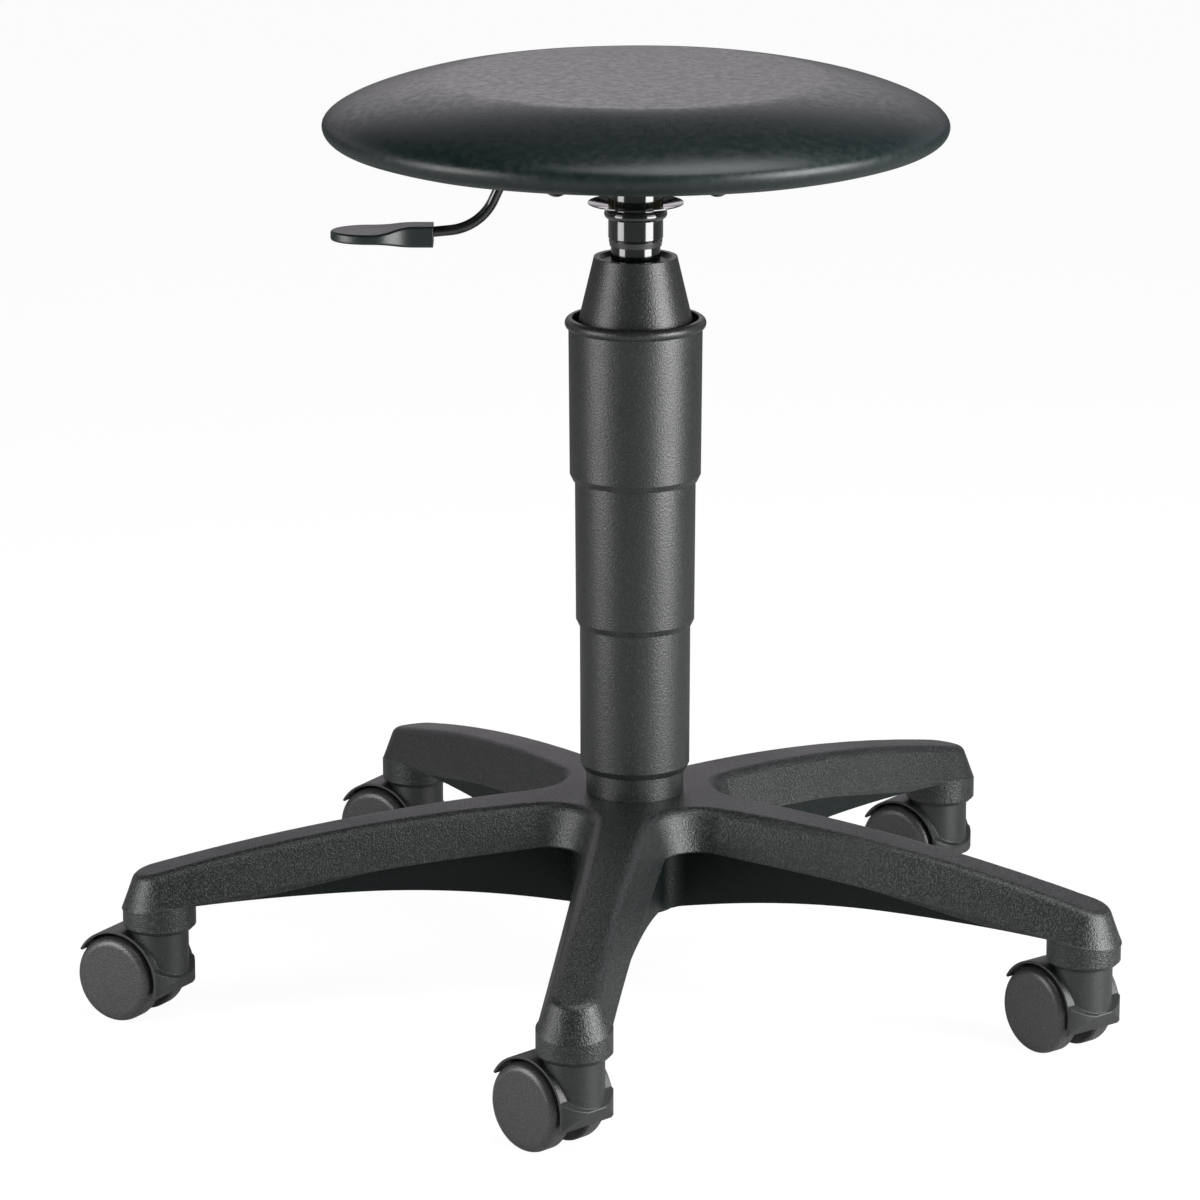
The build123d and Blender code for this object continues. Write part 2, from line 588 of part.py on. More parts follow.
# Valve: closes the cylinder's head and holds the release pin.
RELEASE_PIN_TOP = LEVER_HEIGHT - LEVER_BLADE_HALF - FREE
RELEASE_PIN_BOTTOM = CYLINDER_TOP - RELEASE_PIN_SEAT
VALVE_BORE_BOTTOM = RELEASE_PIN_BOTTOM - RELEASE_TRAVEL - RELEASE_ROOM
with BuildPart() as cylinder_valve:
    with BuildSketch(Plane.XZ):
        ring(0, CYLINDER_BORE, CYLINDER_TOP - VALVE_HEIGHT, VALVE_BORE_BOTTOM)
        ring(RELEASE_PIN_RADIUS + RUN, CYLINDER_BORE, VALVE_BORE_BOTTOM, CYLINDER_TOP)
    revolve(axis=Axis.Z)
save(cylinder_valve.part, "cylinder_valve")

# Release pin with a domed top under the lever.
with BuildPart() as release_pin:
    with BuildSketch(Plane.XZ):
        with BuildLine():
            shoulder = (RELEASE_PIN_RADIUS, RELEASE_PIN_TOP - RELEASE_PIN_DOME)
            Polyline(
                (0, RELEASE_PIN_TOP),
                (0, RELEASE_PIN_BOTTOM),
                (RELEASE_PIN_RADIUS, RELEASE_PIN_BOTTOM),
                shoulder,
            )
            TangentArc((0, RELEASE_PIN_TOP), shoulder, tangent=(1, 0))
        make_face()
    revolve(axis=Axis.Z)
save(release_pin.part, "release_pin")

# Foot ring on the hub: a shoulder for the lower sleeve, and a spigot inside it.
SPIGOT_RADIUS = COLUMN_RADIUS + RUN + SPIGOT_WALL
with BuildPart() as cover_foot_ring:
    with BuildSketch(Plane.XZ):
        ring(COLUMN_RADIUS + RUN, FOOT_RING_RADIUS, HUB_TOP, FOOT_RING_TOP)
        ring(COLUMN_RADIUS + RUN, SPIGOT_RADIUS, FOOT_RING_TOP, FOOT_RING_TOP + SPIGOT_HEIGHT)
    revolve(axis=Axis.Z)
save(cover_foot_ring.part, "cover_foot_ring")

# Lower sleeve: slightly conical, with a chamfered foot and an inner lip on the foot ring.
with BuildPart() as cover_lower_sleeve:
    with BuildSketch(Plane.XZ):
        with BuildLine():
            Polyline(
                (SPIGOT_RADIUS + RUN, FOOT_RING_TOP),
                (LOWER_SLEEVE_FOOT_RADIUS - SLEEVE_EDGE_INSET, FOOT_RING_TOP),
                (LOWER_SLEEVE_FOOT_RADIUS, FOOT_RING_TOP + SLEEVE_EDGE_HEIGHT),
                (LOWER_SLEEVE_HEAD_RADIUS, LOWER_SLEEVE_TOP),
                (LOWER_SLEEVE_HEAD_RADIUS - LOWER_SLEEVE_WALL, LOWER_SLEEVE_TOP),
                (LOWER_SLEEVE_FOOT_RADIUS - LOWER_SLEEVE_WALL, FOOT_RING_TOP + SLEEVE_LIP),
                (SPIGOT_RADIUS + RUN, FOOT_RING_TOP + SLEEVE_LIP),
                close=True,
            )
        make_face()
    revolve(axis=Axis.Z)
save(cover_lower_sleeve.part, "cover_lower_sleeve")

# Middle sleeve: slides over the lower one.
MID_SLEEVE_BORE = LOWER_SLEEVE_HEAD_RADIUS + FREE
with BuildPart() as cover_mid_sleeve:
    with BuildSketch(Plane.XZ):
        with BuildLine():
            Polyline(
                (MID_SLEEVE_BORE, MID_SLEEVE_BOTTOM),
                (MID_SLEEVE_FOOT_RADIUS - SLEEVE_EDGE_INSET, MID_SLEEVE_BOTTOM),
                (MID_SLEEVE_FOOT_RADIUS, MID_SLEEVE_BOTTOM + SLEEVE_EDGE_HEIGHT),
                (MID_SLEEVE_HEAD_RADIUS, MID_SLEEVE_TOP),
                (MID_SLEEVE_BORE, MID_SLEEVE_TOP),
                close=True,
            )
        make_face()
    revolve(axis=Axis.Z)
save(cover_mid_sleeve.part, "cover_mid_sleeve")

# Top sleeve: slides over the middle one, with a rolled bead at its head and a ledge for the cone.
TOP_SLEEVE_BORE = MID_SLEEVE_HEAD_RADIUS + FREE
CONE_FLANGE_RADIUS = TOP_SLEEVE_BORE + CONE_FLANGE_BITE
LEDGE_RADIUS = CONE_BASE_RADIUS + CONE_LEDGE_GAP
with BuildPart() as cover_top_sleeve:
    with BuildSketch(Plane.XZ):
        with BuildLine():
            neck = (TOP_SLEEVE_HEAD_RADIUS, TOP_SLEEVE_NECK)
            crest = (TOP_BEAD_RADIUS, (TOP_SLEEVE_NECK + 2 * TOP_SLEEVE_TOP) / 3)
            brim = (TOP_SLEEVE_HEAD_RADIUS, TOP_SLEEVE_TOP)
            ThreePointArc(neck, crest, brim)
            Polyline(
                brim,
                (CONE_FLANGE_RADIUS + 2 * FREE, TOP_SLEEVE_TOP),
                (CONE_FLANGE_RADIUS + RUN, CONE_FLANGE_BOTTOM),
                (LEDGE_RADIUS, CONE_FLANGE_BOTTOM),
                (LEDGE_RADIUS, CONE_FLANGE_BOTTOM - CONE_FLANGE_HEIGHT),
                (TOP_SLEEVE_BORE, CONE_FLANGE_BOTTOM - 2 * CONE_FLANGE_HEIGHT),
                (TOP_SLEEVE_BORE, TOP_SLEEVE_BOTTOM),
                (TOP_SLEEVE_FOOT_RADIUS - SLEEVE_EDGE_INSET, TOP_SLEEVE_BOTTOM),
                (TOP_SLEEVE_FOOT_RADIUS, TOP_SLEEVE_BOTTOM + SLEEVE_EDGE_HEIGHT),
                neck,
            )
        make_face()
    revolve(axis=Axis.Z)
save(cover_top_sleeve.part, "cover_top_sleeve")

# Cone: stands on the top sleeve's ledge and closes round the cylinder under a dished top.
CONE_ROOF = CONE_TOP - CONE_DISH
CONE_LEAN = (CONE_BASE_RADIUS - CONE_TOP_RADIUS) / (CONE_TOP - CONE_BASE)
CONE_ROOF_UNDER = CONE_ROOF - CONE_WALL
with BuildPart() as cover_cone:
    with BuildSketch(Plane.XZ):
        with BuildLine():
            Polyline(
                (CONE_BASE_RADIUS - CONE_WALL, CONE_FLANGE_BOTTOM),
                (CONE_FLANGE_RADIUS, CONE_FLANGE_BOTTOM),
                (CONE_FLANGE_RADIUS, CONE_FLANGE_BOTTOM + CONE_FLANGE_HEIGHT),
                (CONE_BASE_RADIUS, CONE_FLANGE_BOTTOM + CONE_FLANGE_HEIGHT),
                (CONE_BASE_RADIUS, CONE_BASE),
                (CONE_TOP_RADIUS, CONE_TOP),
                (CONE_TOP_RADIUS - CONE_RIM, CONE_TOP),
                (CONE_TOP_RADIUS - CONE_RIM - CONE_DISH, CONE_ROOF),
                (CYLINDER_RADIUS + RUN, CONE_ROOF),
                (CYLINDER_RADIUS + RUN, CONE_ROOF_UNDER),
                (CONE_TOP_RADIUS + CONE_LEAN * (CONE_TOP - CONE_ROOF_UNDER) - CONE_WALL, CONE_ROOF_UNDER),
                (CONE_BASE_RADIUS - CONE_WALL, CONE_BASE),
                close=True,
            )
        make_face()
    revolve(axis=Axis.Z)
save(cover_cone.part, "cover_cone")

# Seat plate: a pressed pan with turned-down edges and four screw holes.
PLATE_BOTTOM = SEAT_BOTTOM - PLATE_THICKNESS
with BuildPart() as seat_plate:
    with BuildSketch(Plane.XY.offset(SEAT_BOTTOM)):
        RectangleRounded(PLATE_WIDTH, PLATE_LENGTH, PLATE_CORNER)
    extrude(amount=-PLATE_EDGE_DEPTH)
    with BuildSketch(Plane.XY.offset(PLATE_BOTTOM)):
        inner_width = PLATE_WIDTH - 2 * PLATE_THICKNESS
        inner_length = PLATE_LENGTH - 2 * PLATE_THICKNESS
        RectangleRounded(inner_width, inner_length, PLATE_CORNER - PLATE_THICKNESS)
    extrude(amount=-PLATE_EDGE_DEPTH, mode=Mode.SUBTRACT)
    with BuildSketch(Plane.XY.offset(SEAT_BOTTOM)):
        with GridLocations(SCREW_SPACING_X, SCREW_SPACING_Y, 2, 2):
            Circle(SCREW_RADIUS + SCREW_HOLE_ROOM)
    extrude(amount=-PLATE_THICKNESS, mode=Mode.SUBTRACT)
    fillet(faces().sort_by(Axis.Z)[-1].outer_wire().edges(), PLATE_EDGE_ROUND)
save(seat_plate.part, "seat_plate")

# Socket: the tube under the plate that takes the cylinder's head, with a bead, a dished washer and a slot.
SOCKET_SLOPE = (CYLINDER_RADIUS - CYLINDER_TIP_RADIUS) / (CYLINDER_TOP - SOCKET_BOTTOM)
SLOT_HALF = LEVER_EYE_HALF + 2 * FREE
SLOT_BOTTOM = LEVER_HEIGHT - LEVER_EYE_RADIUS - 2 * FREE
with BuildPart() as plate_socket:
    with BuildSketch(Plane.XZ):
        with BuildLine():
            groove_height = SOCKET_BOTTOM + SOCKET_GROOVE_HEIGHT
            collar_bottom = SOCKET_BOTTOM + SOCKET_COLLAR_RISE
            collar_top = collar_bottom + SOCKET_COLLAR_HEIGHT
            dish_root = collar_top + FREE
            dish_tip = dish_root + SOCKET_DISH_RISE
            Polyline(
                (CYLINDER_RADIUS + RUN, SOCKET_BOTTOM),
                (SOCKET_RADIUS - SOCKET_GROOVE_HALF, SOCKET_BOTTOM),
                (SOCKET_RADIUS - SOCKET_LIP_INSET, groove_height - SOCKET_GROOVE_HALF),
                (SOCKET_RADIUS - SOCKET_GROOVE_DEPTH, groove_height),
                (SOCKET_RADIUS, groove_height + SOCKET_GROOVE_HALF),
                (SOCKET_RADIUS, collar_bottom),
            )
            ThreePointArc(
                (SOCKET_RADIUS, collar_bottom),
                (SOCKET_COLLAR_RADIUS, (collar_bottom + collar_top) / 2),
                (SOCKET_RADIUS, collar_top),
            )
            Polyline(
                (SOCKET_RADIUS, collar_top),
                (SOCKET_RADIUS, dish_root),
                (SOCKET_DISH_RADIUS, dish_tip),
                (SOCKET_DISH_RADIUS, dish_tip + SOCKET_DISH_THICKNESS / 2),
                (SOCKET_RADIUS, dish_root + SOCKET_DISH_THICKNESS),
                (SOCKET_RADIUS, PLATE_BOTTOM),
                (CYLINDER_TIP_RADIUS + RUN, PLATE_BOTTOM),
                (CYLINDER_TIP_RADIUS + RUN, CYLINDER_TOP),
                (CYLINDER_RADIUS + RUN, SOCKET_BOTTOM),
            )
        make_face()
    revolve(axis=Axis.Z)
    with BuildSketch(Plane.XY.offset(SLOT_BOTTOM)):
        with Locations((-SOCKET_RADIUS, 0)):
            Rectangle(SOCKET_RADIUS, 2 * SLOT_HALF)
    extrude(amount=PLATE_BOTTOM - SLOT_BOTTOM, mode=Mode.SUBTRACT)
save(plate_socket.part, "plate_socket")

# Lever block: a bracket under the plate with two cheeks for the lever's pin.
CHEEK_INNER = LEVER_EYE_HALF + FREE
CHEEK_OUTER = CHEEK_INNER + LEVER_CHEEK
CHEEK_BOTTOM = LEVER_HEIGHT - LEVER_CHEEK_DROP
with BuildPart() as lever_block:
    with BuildSketch(Plane.YZ.offset(LEVER_PIVOT_X - LEVER_CHEEK_LENGTH / 2)):
        with BuildLine():
            Polyline(
                (-CHEEK_OUTER, CHEEK_BOTTOM),
                (-CHEEK_OUTER, PLATE_BOTTOM),
                (CHEEK_OUTER, PLATE_BOTTOM),
                (CHEEK_OUTER, CHEEK_BOTTOM),
                (CHEEK_INNER, CHEEK_BOTTOM),
                (CHEEK_INNER, PLATE_BOTTOM - LEVER_CHEEK),
                (-CHEEK_INNER, PLATE_BOTTOM - LEVER_CHEEK),
                (-CHEEK_INNER, CHEEK_BOTTOM),
                close=True,
            )
        make_face()
    extrude(amount=LEVER_CHEEK_LENGTH)
    with BuildSketch(Plane.XZ):
        with Locations((LEVER_PIVOT_X, LEVER_HEIGHT)):
            Circle(LEVER_PIN_RADIUS)
    extrude(amount=2 * CHEEK_OUTER, both=True, mode=Mode.SUBTRACT)
save(lever_block.part, "lever_block")

with BuildPart() as lever_pin:
    with BuildSketch(Plane.XZ):
        with Locations((LEVER_PIVOT_X, LEVER_HEIGHT)):
            Circle(LEVER_PIN_RADIUS)
    extrude(amount=CHEEK_OUTER + LEVER_CHEEK / 2, both=True)
save(lever_pin.part, "lever_pin")

# Lever rod: bent round bar with an eye on the pin and a flat tongue over the release pin.
with BuildPart() as lever_rod:
    with BuildLine(Plane.XZ) as lever_path:
        FilletPolyline(
            (LEVER_PIVOT_X, LEVER_HEIGHT),
            (LEVER_KNEE_X, LEVER_HEIGHT),
            (LEVER_DROP_X, LEVER_HEIGHT - LEVER_DROP),
            (LEVER_TAIL_X, LEVER_HEIGHT - LEVER_TAIL_DROP),
            radius=[LEVER_KNEE_BEND, LEVER_DROP_BEND],
        )
    with BuildSketch(Plane(origin=(LEVER_PIVOT_X, 0, LEVER_HEIGHT), x_dir=(0, 1, 0), z_dir=(-1, 0, 0))):
        Circle(LEVER_ROD_RADIUS)
    sweep(path=lever_path.line)
    with BuildSketch(Plane.XZ):
        with Locations((LEVER_PIVOT_X, LEVER_HEIGHT)):
            Circle(LEVER_EYE_RADIUS)
    extrude(amount=LEVER_EYE_HALF, both=True)
    with BuildSketch(Plane.XZ):
        with Locations(((LEVER_PIVOT_X + LEVER_BLADE_END) / 2, LEVER_HEIGHT)):
            Rectangle(LEVER_BLADE_END - LEVER_PIVOT_X, 2 * LEVER_BLADE_HALF)
    extrude(amount=LEVER_ROD_RADIUS, both=True)
    with BuildSketch(Plane.XZ):
        with Locations((LEVER_PIVOT_X, LEVER_HEIGHT)):
            Circle(LEVER_PIN_RADIUS + RUN)
    extrude(amount=2 * LEVER_EYE_HALF, both=True, mode=Mode.SUBTRACT)
save(lever_rod.part, "lever_rod")

# Lever grip: a block at the root that thins and widens to a rounded paddle, moulded on the rod.
GRIP_CENTRE = LEVER_HEIGHT - GRIP_DROP
GRIP_ROOT_TOP = GRIP_CENTRE + GRIP_ROOT_THICKNESS / 2
GRIP_ROOT_BOTTOM = GRIP_CENTRE - GRIP_ROOT_THICKNESS / 2
GRIP_PADDLE_TOP = GRIP_CENTRE + GRIP_PADDLE_THICKNESS / 2
GRIP_PADDLE_BOTTOM = GRIP_CENTRE - GRIP_PADDLE_THICKNESS / 2
PADDLE_START = GRIP_END_X + GRIP_PADDLE_LENGTH
ROOT_END = GRIP_ROOT_X - GRIP_ROOT_LENGTH
GRIP_SWING = (ROOT_END - PADDLE_START) / 2
with BuildPart() as lever_grip:
    with BuildSketch(Plane.XZ):
        with BuildLine():
            for root, paddle in ((GRIP_ROOT_TOP, GRIP_PADDLE_TOP), (GRIP_ROOT_BOTTOM, GRIP_PADDLE_BOTTOM)):
                Line((GRIP_ROOT_X, root), (ROOT_END, root))
                Bezier(
                    (ROOT_END, root), (ROOT_END - GRIP_SWING, root),
                    (PADDLE_START + GRIP_SWING, paddle), (PADDLE_START, paddle),
                )
                Line((PADDLE_START, paddle), (GRIP_END_X, paddle))
            Line((GRIP_ROOT_X, GRIP_ROOT_TOP), (GRIP_ROOT_X, GRIP_ROOT_BOTTOM))
            Line((GRIP_END_X, GRIP_PADDLE_TOP), (GRIP_END_X, GRIP_PADDLE_BOTTOM))
        make_face()
    extrude(amount=GRIP_PADDLE_WIDTH, both=True)
    with BuildSketch(Plane.XY.offset(GRIP_ROOT_BOTTOM)):
        with BuildLine():
            for side in (1, -1):
                root = side * GRIP_ROOT_WIDTH / 2
                paddle = side * GRIP_PADDLE_WIDTH / 2
                Line((GRIP_ROOT_X, root), (ROOT_END, root))
                Bezier(
                    (ROOT_END, root), (ROOT_END - GRIP_SWING, root),
                    (PADDLE_START + GRIP_SWING, paddle), (PADDLE_START, paddle),
                )
            Line((GRIP_ROOT_X, GRIP_ROOT_WIDTH / 2), (GRIP_ROOT_X, -GRIP_ROOT_WIDTH / 2))
            EllipticalCenterArc(
                (PADDLE_START, 0), GRIP_PADDLE_LENGTH, GRIP_PADDLE_WIDTH / 2, start_angle=90, arc_size=180
            )
        make_face()
    extrude(amount=GRIP_ROOT_THICKNESS, mode=Mode.INTERSECT)
    fillet(edges() - faces().sort_by(Axis.X)[-1].edges(), GRIP_EDGE_ROUND)
    add(lever_rod.part, mode=Mode.SUBTRACT)
save(lever_grip.part, "lever_grip")

# Seat board: the plywood core, with holes for the tee nuts.
BOARD_TOP = SEAT_BOTTOM + BOARD_THICKNESS
TEE_NUT_RADIUS = SCREW_RADIUS + TEE_NUT_WALL
with BuildPart() as seat_board:
    with BuildSketch(Plane.XY.offset(SEAT_BOTTOM)):
        Circle(BOARD_RADIUS)
        with GridLocations(SCREW_SPACING_X, SCREW_SPACING_Y, 2, 2):
            Circle(TEE_NUT_RADIUS + RUN, mode=Mode.SUBTRACT)
    extrude(amount=BOARD_THICKNESS)
    with BuildSketch(Plane.XY.offset(BOARD_TOP)):
        with GridLocations(SCREW_SPACING_X, SCREW_SPACING_Y, 2, 2):
            Circle(TEE_NUT_FLANGE_RADIUS + RUN)
    extrude(amount=-TEE_NUT_FLANGE, mode=Mode.SUBTRACT)
save(seat_board.part, "seat_board")

with BuildPart() as seat_tee_nuts:
    with BuildSketch(Plane.XY.offset(SEAT_BOTTOM)):
        with GridLocations(SCREW_SPACING_X, SCREW_SPACING_Y, 2, 2):
            Circle(TEE_NUT_RADIUS)
    extrude(amount=BOARD_THICKNESS)
    with BuildSketch(Plane.XY.offset(BOARD_TOP)):
        with GridLocations(SCREW_SPACING_X, SCREW_SPACING_Y, 2, 2):
            Circle(TEE_NUT_FLANGE_RADIUS)
    extrude(amount=-TEE_NUT_FLANGE)
    with BuildSketch(Plane.XY.offset(SEAT_BOTTOM)):
        with GridLocations(SCREW_SPACING_X, SCREW_SPACING_Y, 2, 2):
            Circle(SCREW_RADIUS + RUN)
    extrude(amount=BOARD_THICKNESS, mode=Mode.SUBTRACT)
save(seat_tee_nuts.part, "seat_tee_nuts")

# Seat screws: domed heads under the plate, shanks up into the tee nuts.
with BuildPart(mode=Mode.PRIVATE) as one_screw:
    with BuildSketch(Plane.XZ):
        with BuildLine():
            dome_edge = (SCREW_HEAD_RADIUS, PLATE_BOTTOM - SCREW_HEAD_HEIGHT / 3)
            dome_foot = (0, PLATE_BOTTOM - SCREW_HEAD_HEIGHT)
            TangentArc(dome_foot, dome_edge, tangent=(1, 0))
            Polyline(
                dome_edge,
                (SCREW_HEAD_RADIUS, PLATE_BOTTOM),
                (SCREW_RADIUS, PLATE_BOTTOM),
                (SCREW_RADIUS, PLATE_BOTTOM + SCREW_LENGTH),
                (0, PLATE_BOTTOM + SCREW_LENGTH),
                dome_foot,
            )
        make_face()
    revolve(axis=Axis.Z)
with BuildPart() as seat_screws:
    with GridLocations(SCREW_SPACING_X, SCREW_SPACING_Y, 2, 2):
        add(one_screw.part)
save(seat_screws.part, "seat_screws")

# Seat cushion: flat crown, rounded shoulder, a firm rim, and an undercut that runs in to the board.
with BuildPart() as seat_cushion:
    with BuildSketch(Plane.XZ):
        with BuildLine():
            Line((0, SEAT_TOP), (SEAT_FLAT_RADIUS, SEAT_TOP))
            Bezier(
                (SEAT_FLAT_RADIUS, SEAT_TOP),
                (SEAT_FLAT_RADIUS + SEAT_CROWN_PULL, SEAT_TOP),
                (SEAT_RADIUS, SEAT_RIM + SEAT_RIM_RISE),
                (SEAT_RADIUS, SEAT_RIM),
            )
            Bezier(
                (SEAT_RADIUS, SEAT_RIM),
                (SEAT_RADIUS, SEAT_RIM - SEAT_RIM_DROP),
                (SEAT_UNDER_RADIUS + SEAT_UNDER_PULL, SEAT_BOTTOM),
                (SEAT_UNDER_RADIUS, SEAT_BOTTOM),
            )
            Line((SEAT_UNDER_RADIUS, SEAT_BOTTOM), (0, SEAT_BOTTOM))
            Line((0, SEAT_BOTTOM), (0, SEAT_TOP))
        make_face()
    revolve(axis=Axis.Z)
    with BuildSketch(Plane.XY.offset(SEAT_BOTTOM)):
        Circle(BOARD_RADIUS + RUN)
    extrude(amount=BOARD_THICKNESS, mode=Mode.SUBTRACT)
save(seat_cushion.part, "seat_cushion")

# One caster, made with its stem on the Z axis and its wheels trailing to -X.
AXLE = (-CASTER_TRAIL, WHEEL_RADIUS)
HOOD_CENTRE = (HOOD_LEAD - CASTER_TRAIL, WHEEL_RADIUS + HOOD_LIFT)
FENDER_BORE = FENDER_RADIUS - FENDER_WALL
NECK_TOP = COLLAR_BOTTOM - FREE


def on_hood(angle):
    """A point on the hood's round outline, seen from the side."""
    across = FENDER_RADIUS * cos(radians(angle))
    return (HOOD_CENTRE[0] + across, HOOD_CENTRE[1] + FENDER_RADIUS * sin(radians(angle)))


def sector(outer, inner, start, end):
    """A ring sector about the hood's centre."""
    with BuildSketch(mode=Mode.PRIVATE) as wedge:
        with BuildLine():
            outer_arc = CenterArc(HOOD_CENTRE, outer, start, end - start)
            inner_arc = CenterArc(HOOD_CENTRE, inner, start, end - start)
            Line(outer_arc @ 0, inner_arc @ 0)
            Line(outer_arc @ 1, inner_arc @ 1)
        make_face()
    add(wedge.sketch)


# Hood nose: the apron below the neck, rounded in plan so that it runs out at the hood's side edges.
with BuildPart() as hood_nose:
    with BuildSketch(Plane.XZ) as nose_side:
        Polygon(
            HOOD_CENTRE,
            on_hood(FENDER_FRONT_ANGLE),
            (NOSE_REACH, NOSE_HEIGHT),
            on_hood(NOSE_ROOT_ANGLE),
            align=None,
        )
        fillet(nose_side.vertices().sort_by(Axis.X)[-1], NOSE_ROUND)
    extrude(amount=FENDER_HALF_WIDTH, both=True)
    with BuildSketch():
        with Locations((NOSE_REACH - NOSE_PLAN_RADIUS, 0)):
            Circle(NOSE_PLAN_RADIUS)
    extrude(amount=NECK_TOP, mode=Mode.INTERSECT)

# Caster housing: neck, nose and hood round the wheels, with a web between them that holds stem and axle.
with BuildPart() as caster_housing:
    with BuildSketch(Plane.XY.offset(NECK_LOWER_END)):
        Circle(NECK_RADIUS)
    extrude(amount=NECK_TOP - NECK_LOWER_END)
    add(hood_nose.part)
    with BuildSketch(Plane.XZ):
        with Locations(HOOD_CENTRE):
            Circle(FENDER_BORE)
    extrude(amount=2 * FENDER_HALF_WIDTH, both=True, mode=Mode.SUBTRACT)
    with BuildSketch(Plane.XZ):
        sector(FENDER_RADIUS, FENDER_BORE, FENDER_FRONT_ANGLE, FENDER_BACK_ANGLE)
    extrude(amount=FENDER_HALF_WIDTH, both=True)
    with BuildSketch(Plane.XZ):
        sector(FENDER_BORE, CASTER_WEB_BOSS / 2, CASTER_WEB_FRONT_ANGLE, FENDER_BACK_ANGLE)
        with Locations(AXLE):
            Circle(CASTER_WEB_BOSS)
        with Locations((0, (WHEEL_RADIUS + NECK_TOP) / 2)):
            Rectangle(2 * (STEM_RADIUS + STEM_WALL), NECK_TOP - WHEEL_RADIUS)
    extrude(amount=CASTER_WEB_HALF, both=True)
    with BuildSketch(Plane.XY.offset(NECK_TOP)):
        Circle(STEM_RADIUS)
    extrude(amount=-STEM_SEAT_DEPTH, mode=Mode.SUBTRACT)
    with BuildSketch(Plane.XZ):
        with Locations(AXLE):
            Circle(AXLE_RADIUS)
    extrude(amount=2 * CASTER_WEB_HALF, both=True, mode=Mode.SUBTRACT)

with BuildPart() as caster_stem:
    with BuildSketch(Plane.XZ):
        ring(0, STEM_RADIUS, NECK_TOP - STEM_SEAT_DEPTH, STEM_TOP)
        with BuildLine():
            groove_low = GROOVE_BOTTOM - FREE
            groove_high = GROOVE_BOTTOM + GRIP_RING_WIDTH + FREE
            groove_root = STEM_RADIUS - GRIP_GROOVE_DEPTH
            Polyline(
                (groove_root, groove_low), (STEM_RADIUS, groove_low),
                (STEM_RADIUS, groove_high), (groove_root, groove_high), close=True,
            )
        make_face(mode=Mode.SUBTRACT)
    revolve(axis=Axis.Z)
    chamfer(faces().sort_by(Axis.Z)[-1].edges(), GRIP_GROOVE_DEPTH)

with BuildPart() as caster_axle:
    with BuildSketch(Plane.XZ):
        with Locations(AXLE):
            Circle(AXLE_RADIUS)
    extrude(amount=WHEEL_OUTER_FACE - WHEEL_BORE_END - AXLE_END_GAP, both=True)

with BuildPart() as caster_wheel:
    with BuildSketch(Plane.XZ.offset(WHEEL_INNER_FACE)):
        with Locations(AXLE):
            Circle(WHEEL_RADIUS)
    extrude(amount=WHEEL_OUTER_FACE - WHEEL_INNER_FACE)
    fillet(faces().sort_by(Axis.Y)[0].edges(), WHEEL_EDGE_ROUND)
    chamfer(faces().sort_by(Axis.Y)[-1].edges(), WHEEL_INNER_CHAMFER)
    with BuildSketch(Plane.XZ.offset(WHEEL_INNER_FACE)):
        with Locations(AXLE):
            Circle(AXLE_RADIUS + RUN)
    extrude(amount=WHEEL_OUTER_FACE - WHEEL_INNER_FACE - WHEEL_BORE_END, mode=Mode.SUBTRACT)

with BuildPart() as caster_far_wheel:
    mirror(caster_wheel.part, about=Plane.XZ)

CASTER_PIECES = {
    "housing": caster_housing,
    "stem": caster_stem,
    "axle": caster_axle,
    "near_wheel": caster_wheel,
    "far_wheel": caster_far_wheel,
}
for angle, (corner, turn) in zip(ARM_ANGLES, CASTER_TURNS.items()):
    pivot = (PIVOT_RADIUS * cos(radians(angle)), PIVOT_RADIUS * sin(radians(angle)), 0)
    for piece, built in CASTER_PIECES.items():
        save(built.part.moved(Location(pivot, (0, 0, turn))), f"caster_{corner}_{piece}")
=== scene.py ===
import bmesh
import bpy
from math import cos, radians, sin
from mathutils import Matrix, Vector, noise
from mathutils.geometry import interpolate_bezier


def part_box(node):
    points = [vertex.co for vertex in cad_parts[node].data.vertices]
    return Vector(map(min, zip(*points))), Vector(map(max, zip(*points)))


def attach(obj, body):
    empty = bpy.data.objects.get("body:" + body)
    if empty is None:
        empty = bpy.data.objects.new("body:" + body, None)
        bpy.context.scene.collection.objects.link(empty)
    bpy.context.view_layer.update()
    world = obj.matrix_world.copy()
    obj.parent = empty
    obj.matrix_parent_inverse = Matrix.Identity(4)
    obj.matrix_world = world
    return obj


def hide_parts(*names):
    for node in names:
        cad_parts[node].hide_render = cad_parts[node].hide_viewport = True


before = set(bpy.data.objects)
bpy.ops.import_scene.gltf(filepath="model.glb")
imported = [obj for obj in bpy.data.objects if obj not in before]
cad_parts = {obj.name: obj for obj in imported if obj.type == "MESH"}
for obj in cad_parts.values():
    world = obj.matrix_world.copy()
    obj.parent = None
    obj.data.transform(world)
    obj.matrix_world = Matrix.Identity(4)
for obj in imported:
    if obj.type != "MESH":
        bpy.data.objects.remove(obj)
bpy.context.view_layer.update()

# Star base: one injection moulding of glass-filled nylon with five arms, hollow and ribbed underneath.
# Its skin carries a fine spark grain that catches the light as pale specks,
# while the webs below the arms' skirts are painted with shade: plain and dark, without specks and with less
# gloss.
NYLON_BLACK = (0.002, 0.0058, 0.0055, 1)
NYLON_SPECK = (0.088, 0.088, 0.088, 1)
SKIRT_HUB_RADIUS = 0.040
SKIRT_HUB_HEIGHT = 0.0995
SKIRT_MID_RADIUS = 0.150
SKIRT_MID_HEIGHT = 0.0870
SKIRT_TIP_RADIUS = 0.277
SKIRT_TIP_HEIGHT = 0.0640
WEB_END_RADIUS = 0.250
NYLON_GLOSS = 0.9
# Share of the gloss taken off the webs as painted shade.
WEB_SHADE_GLOSS_LOST = 0.6


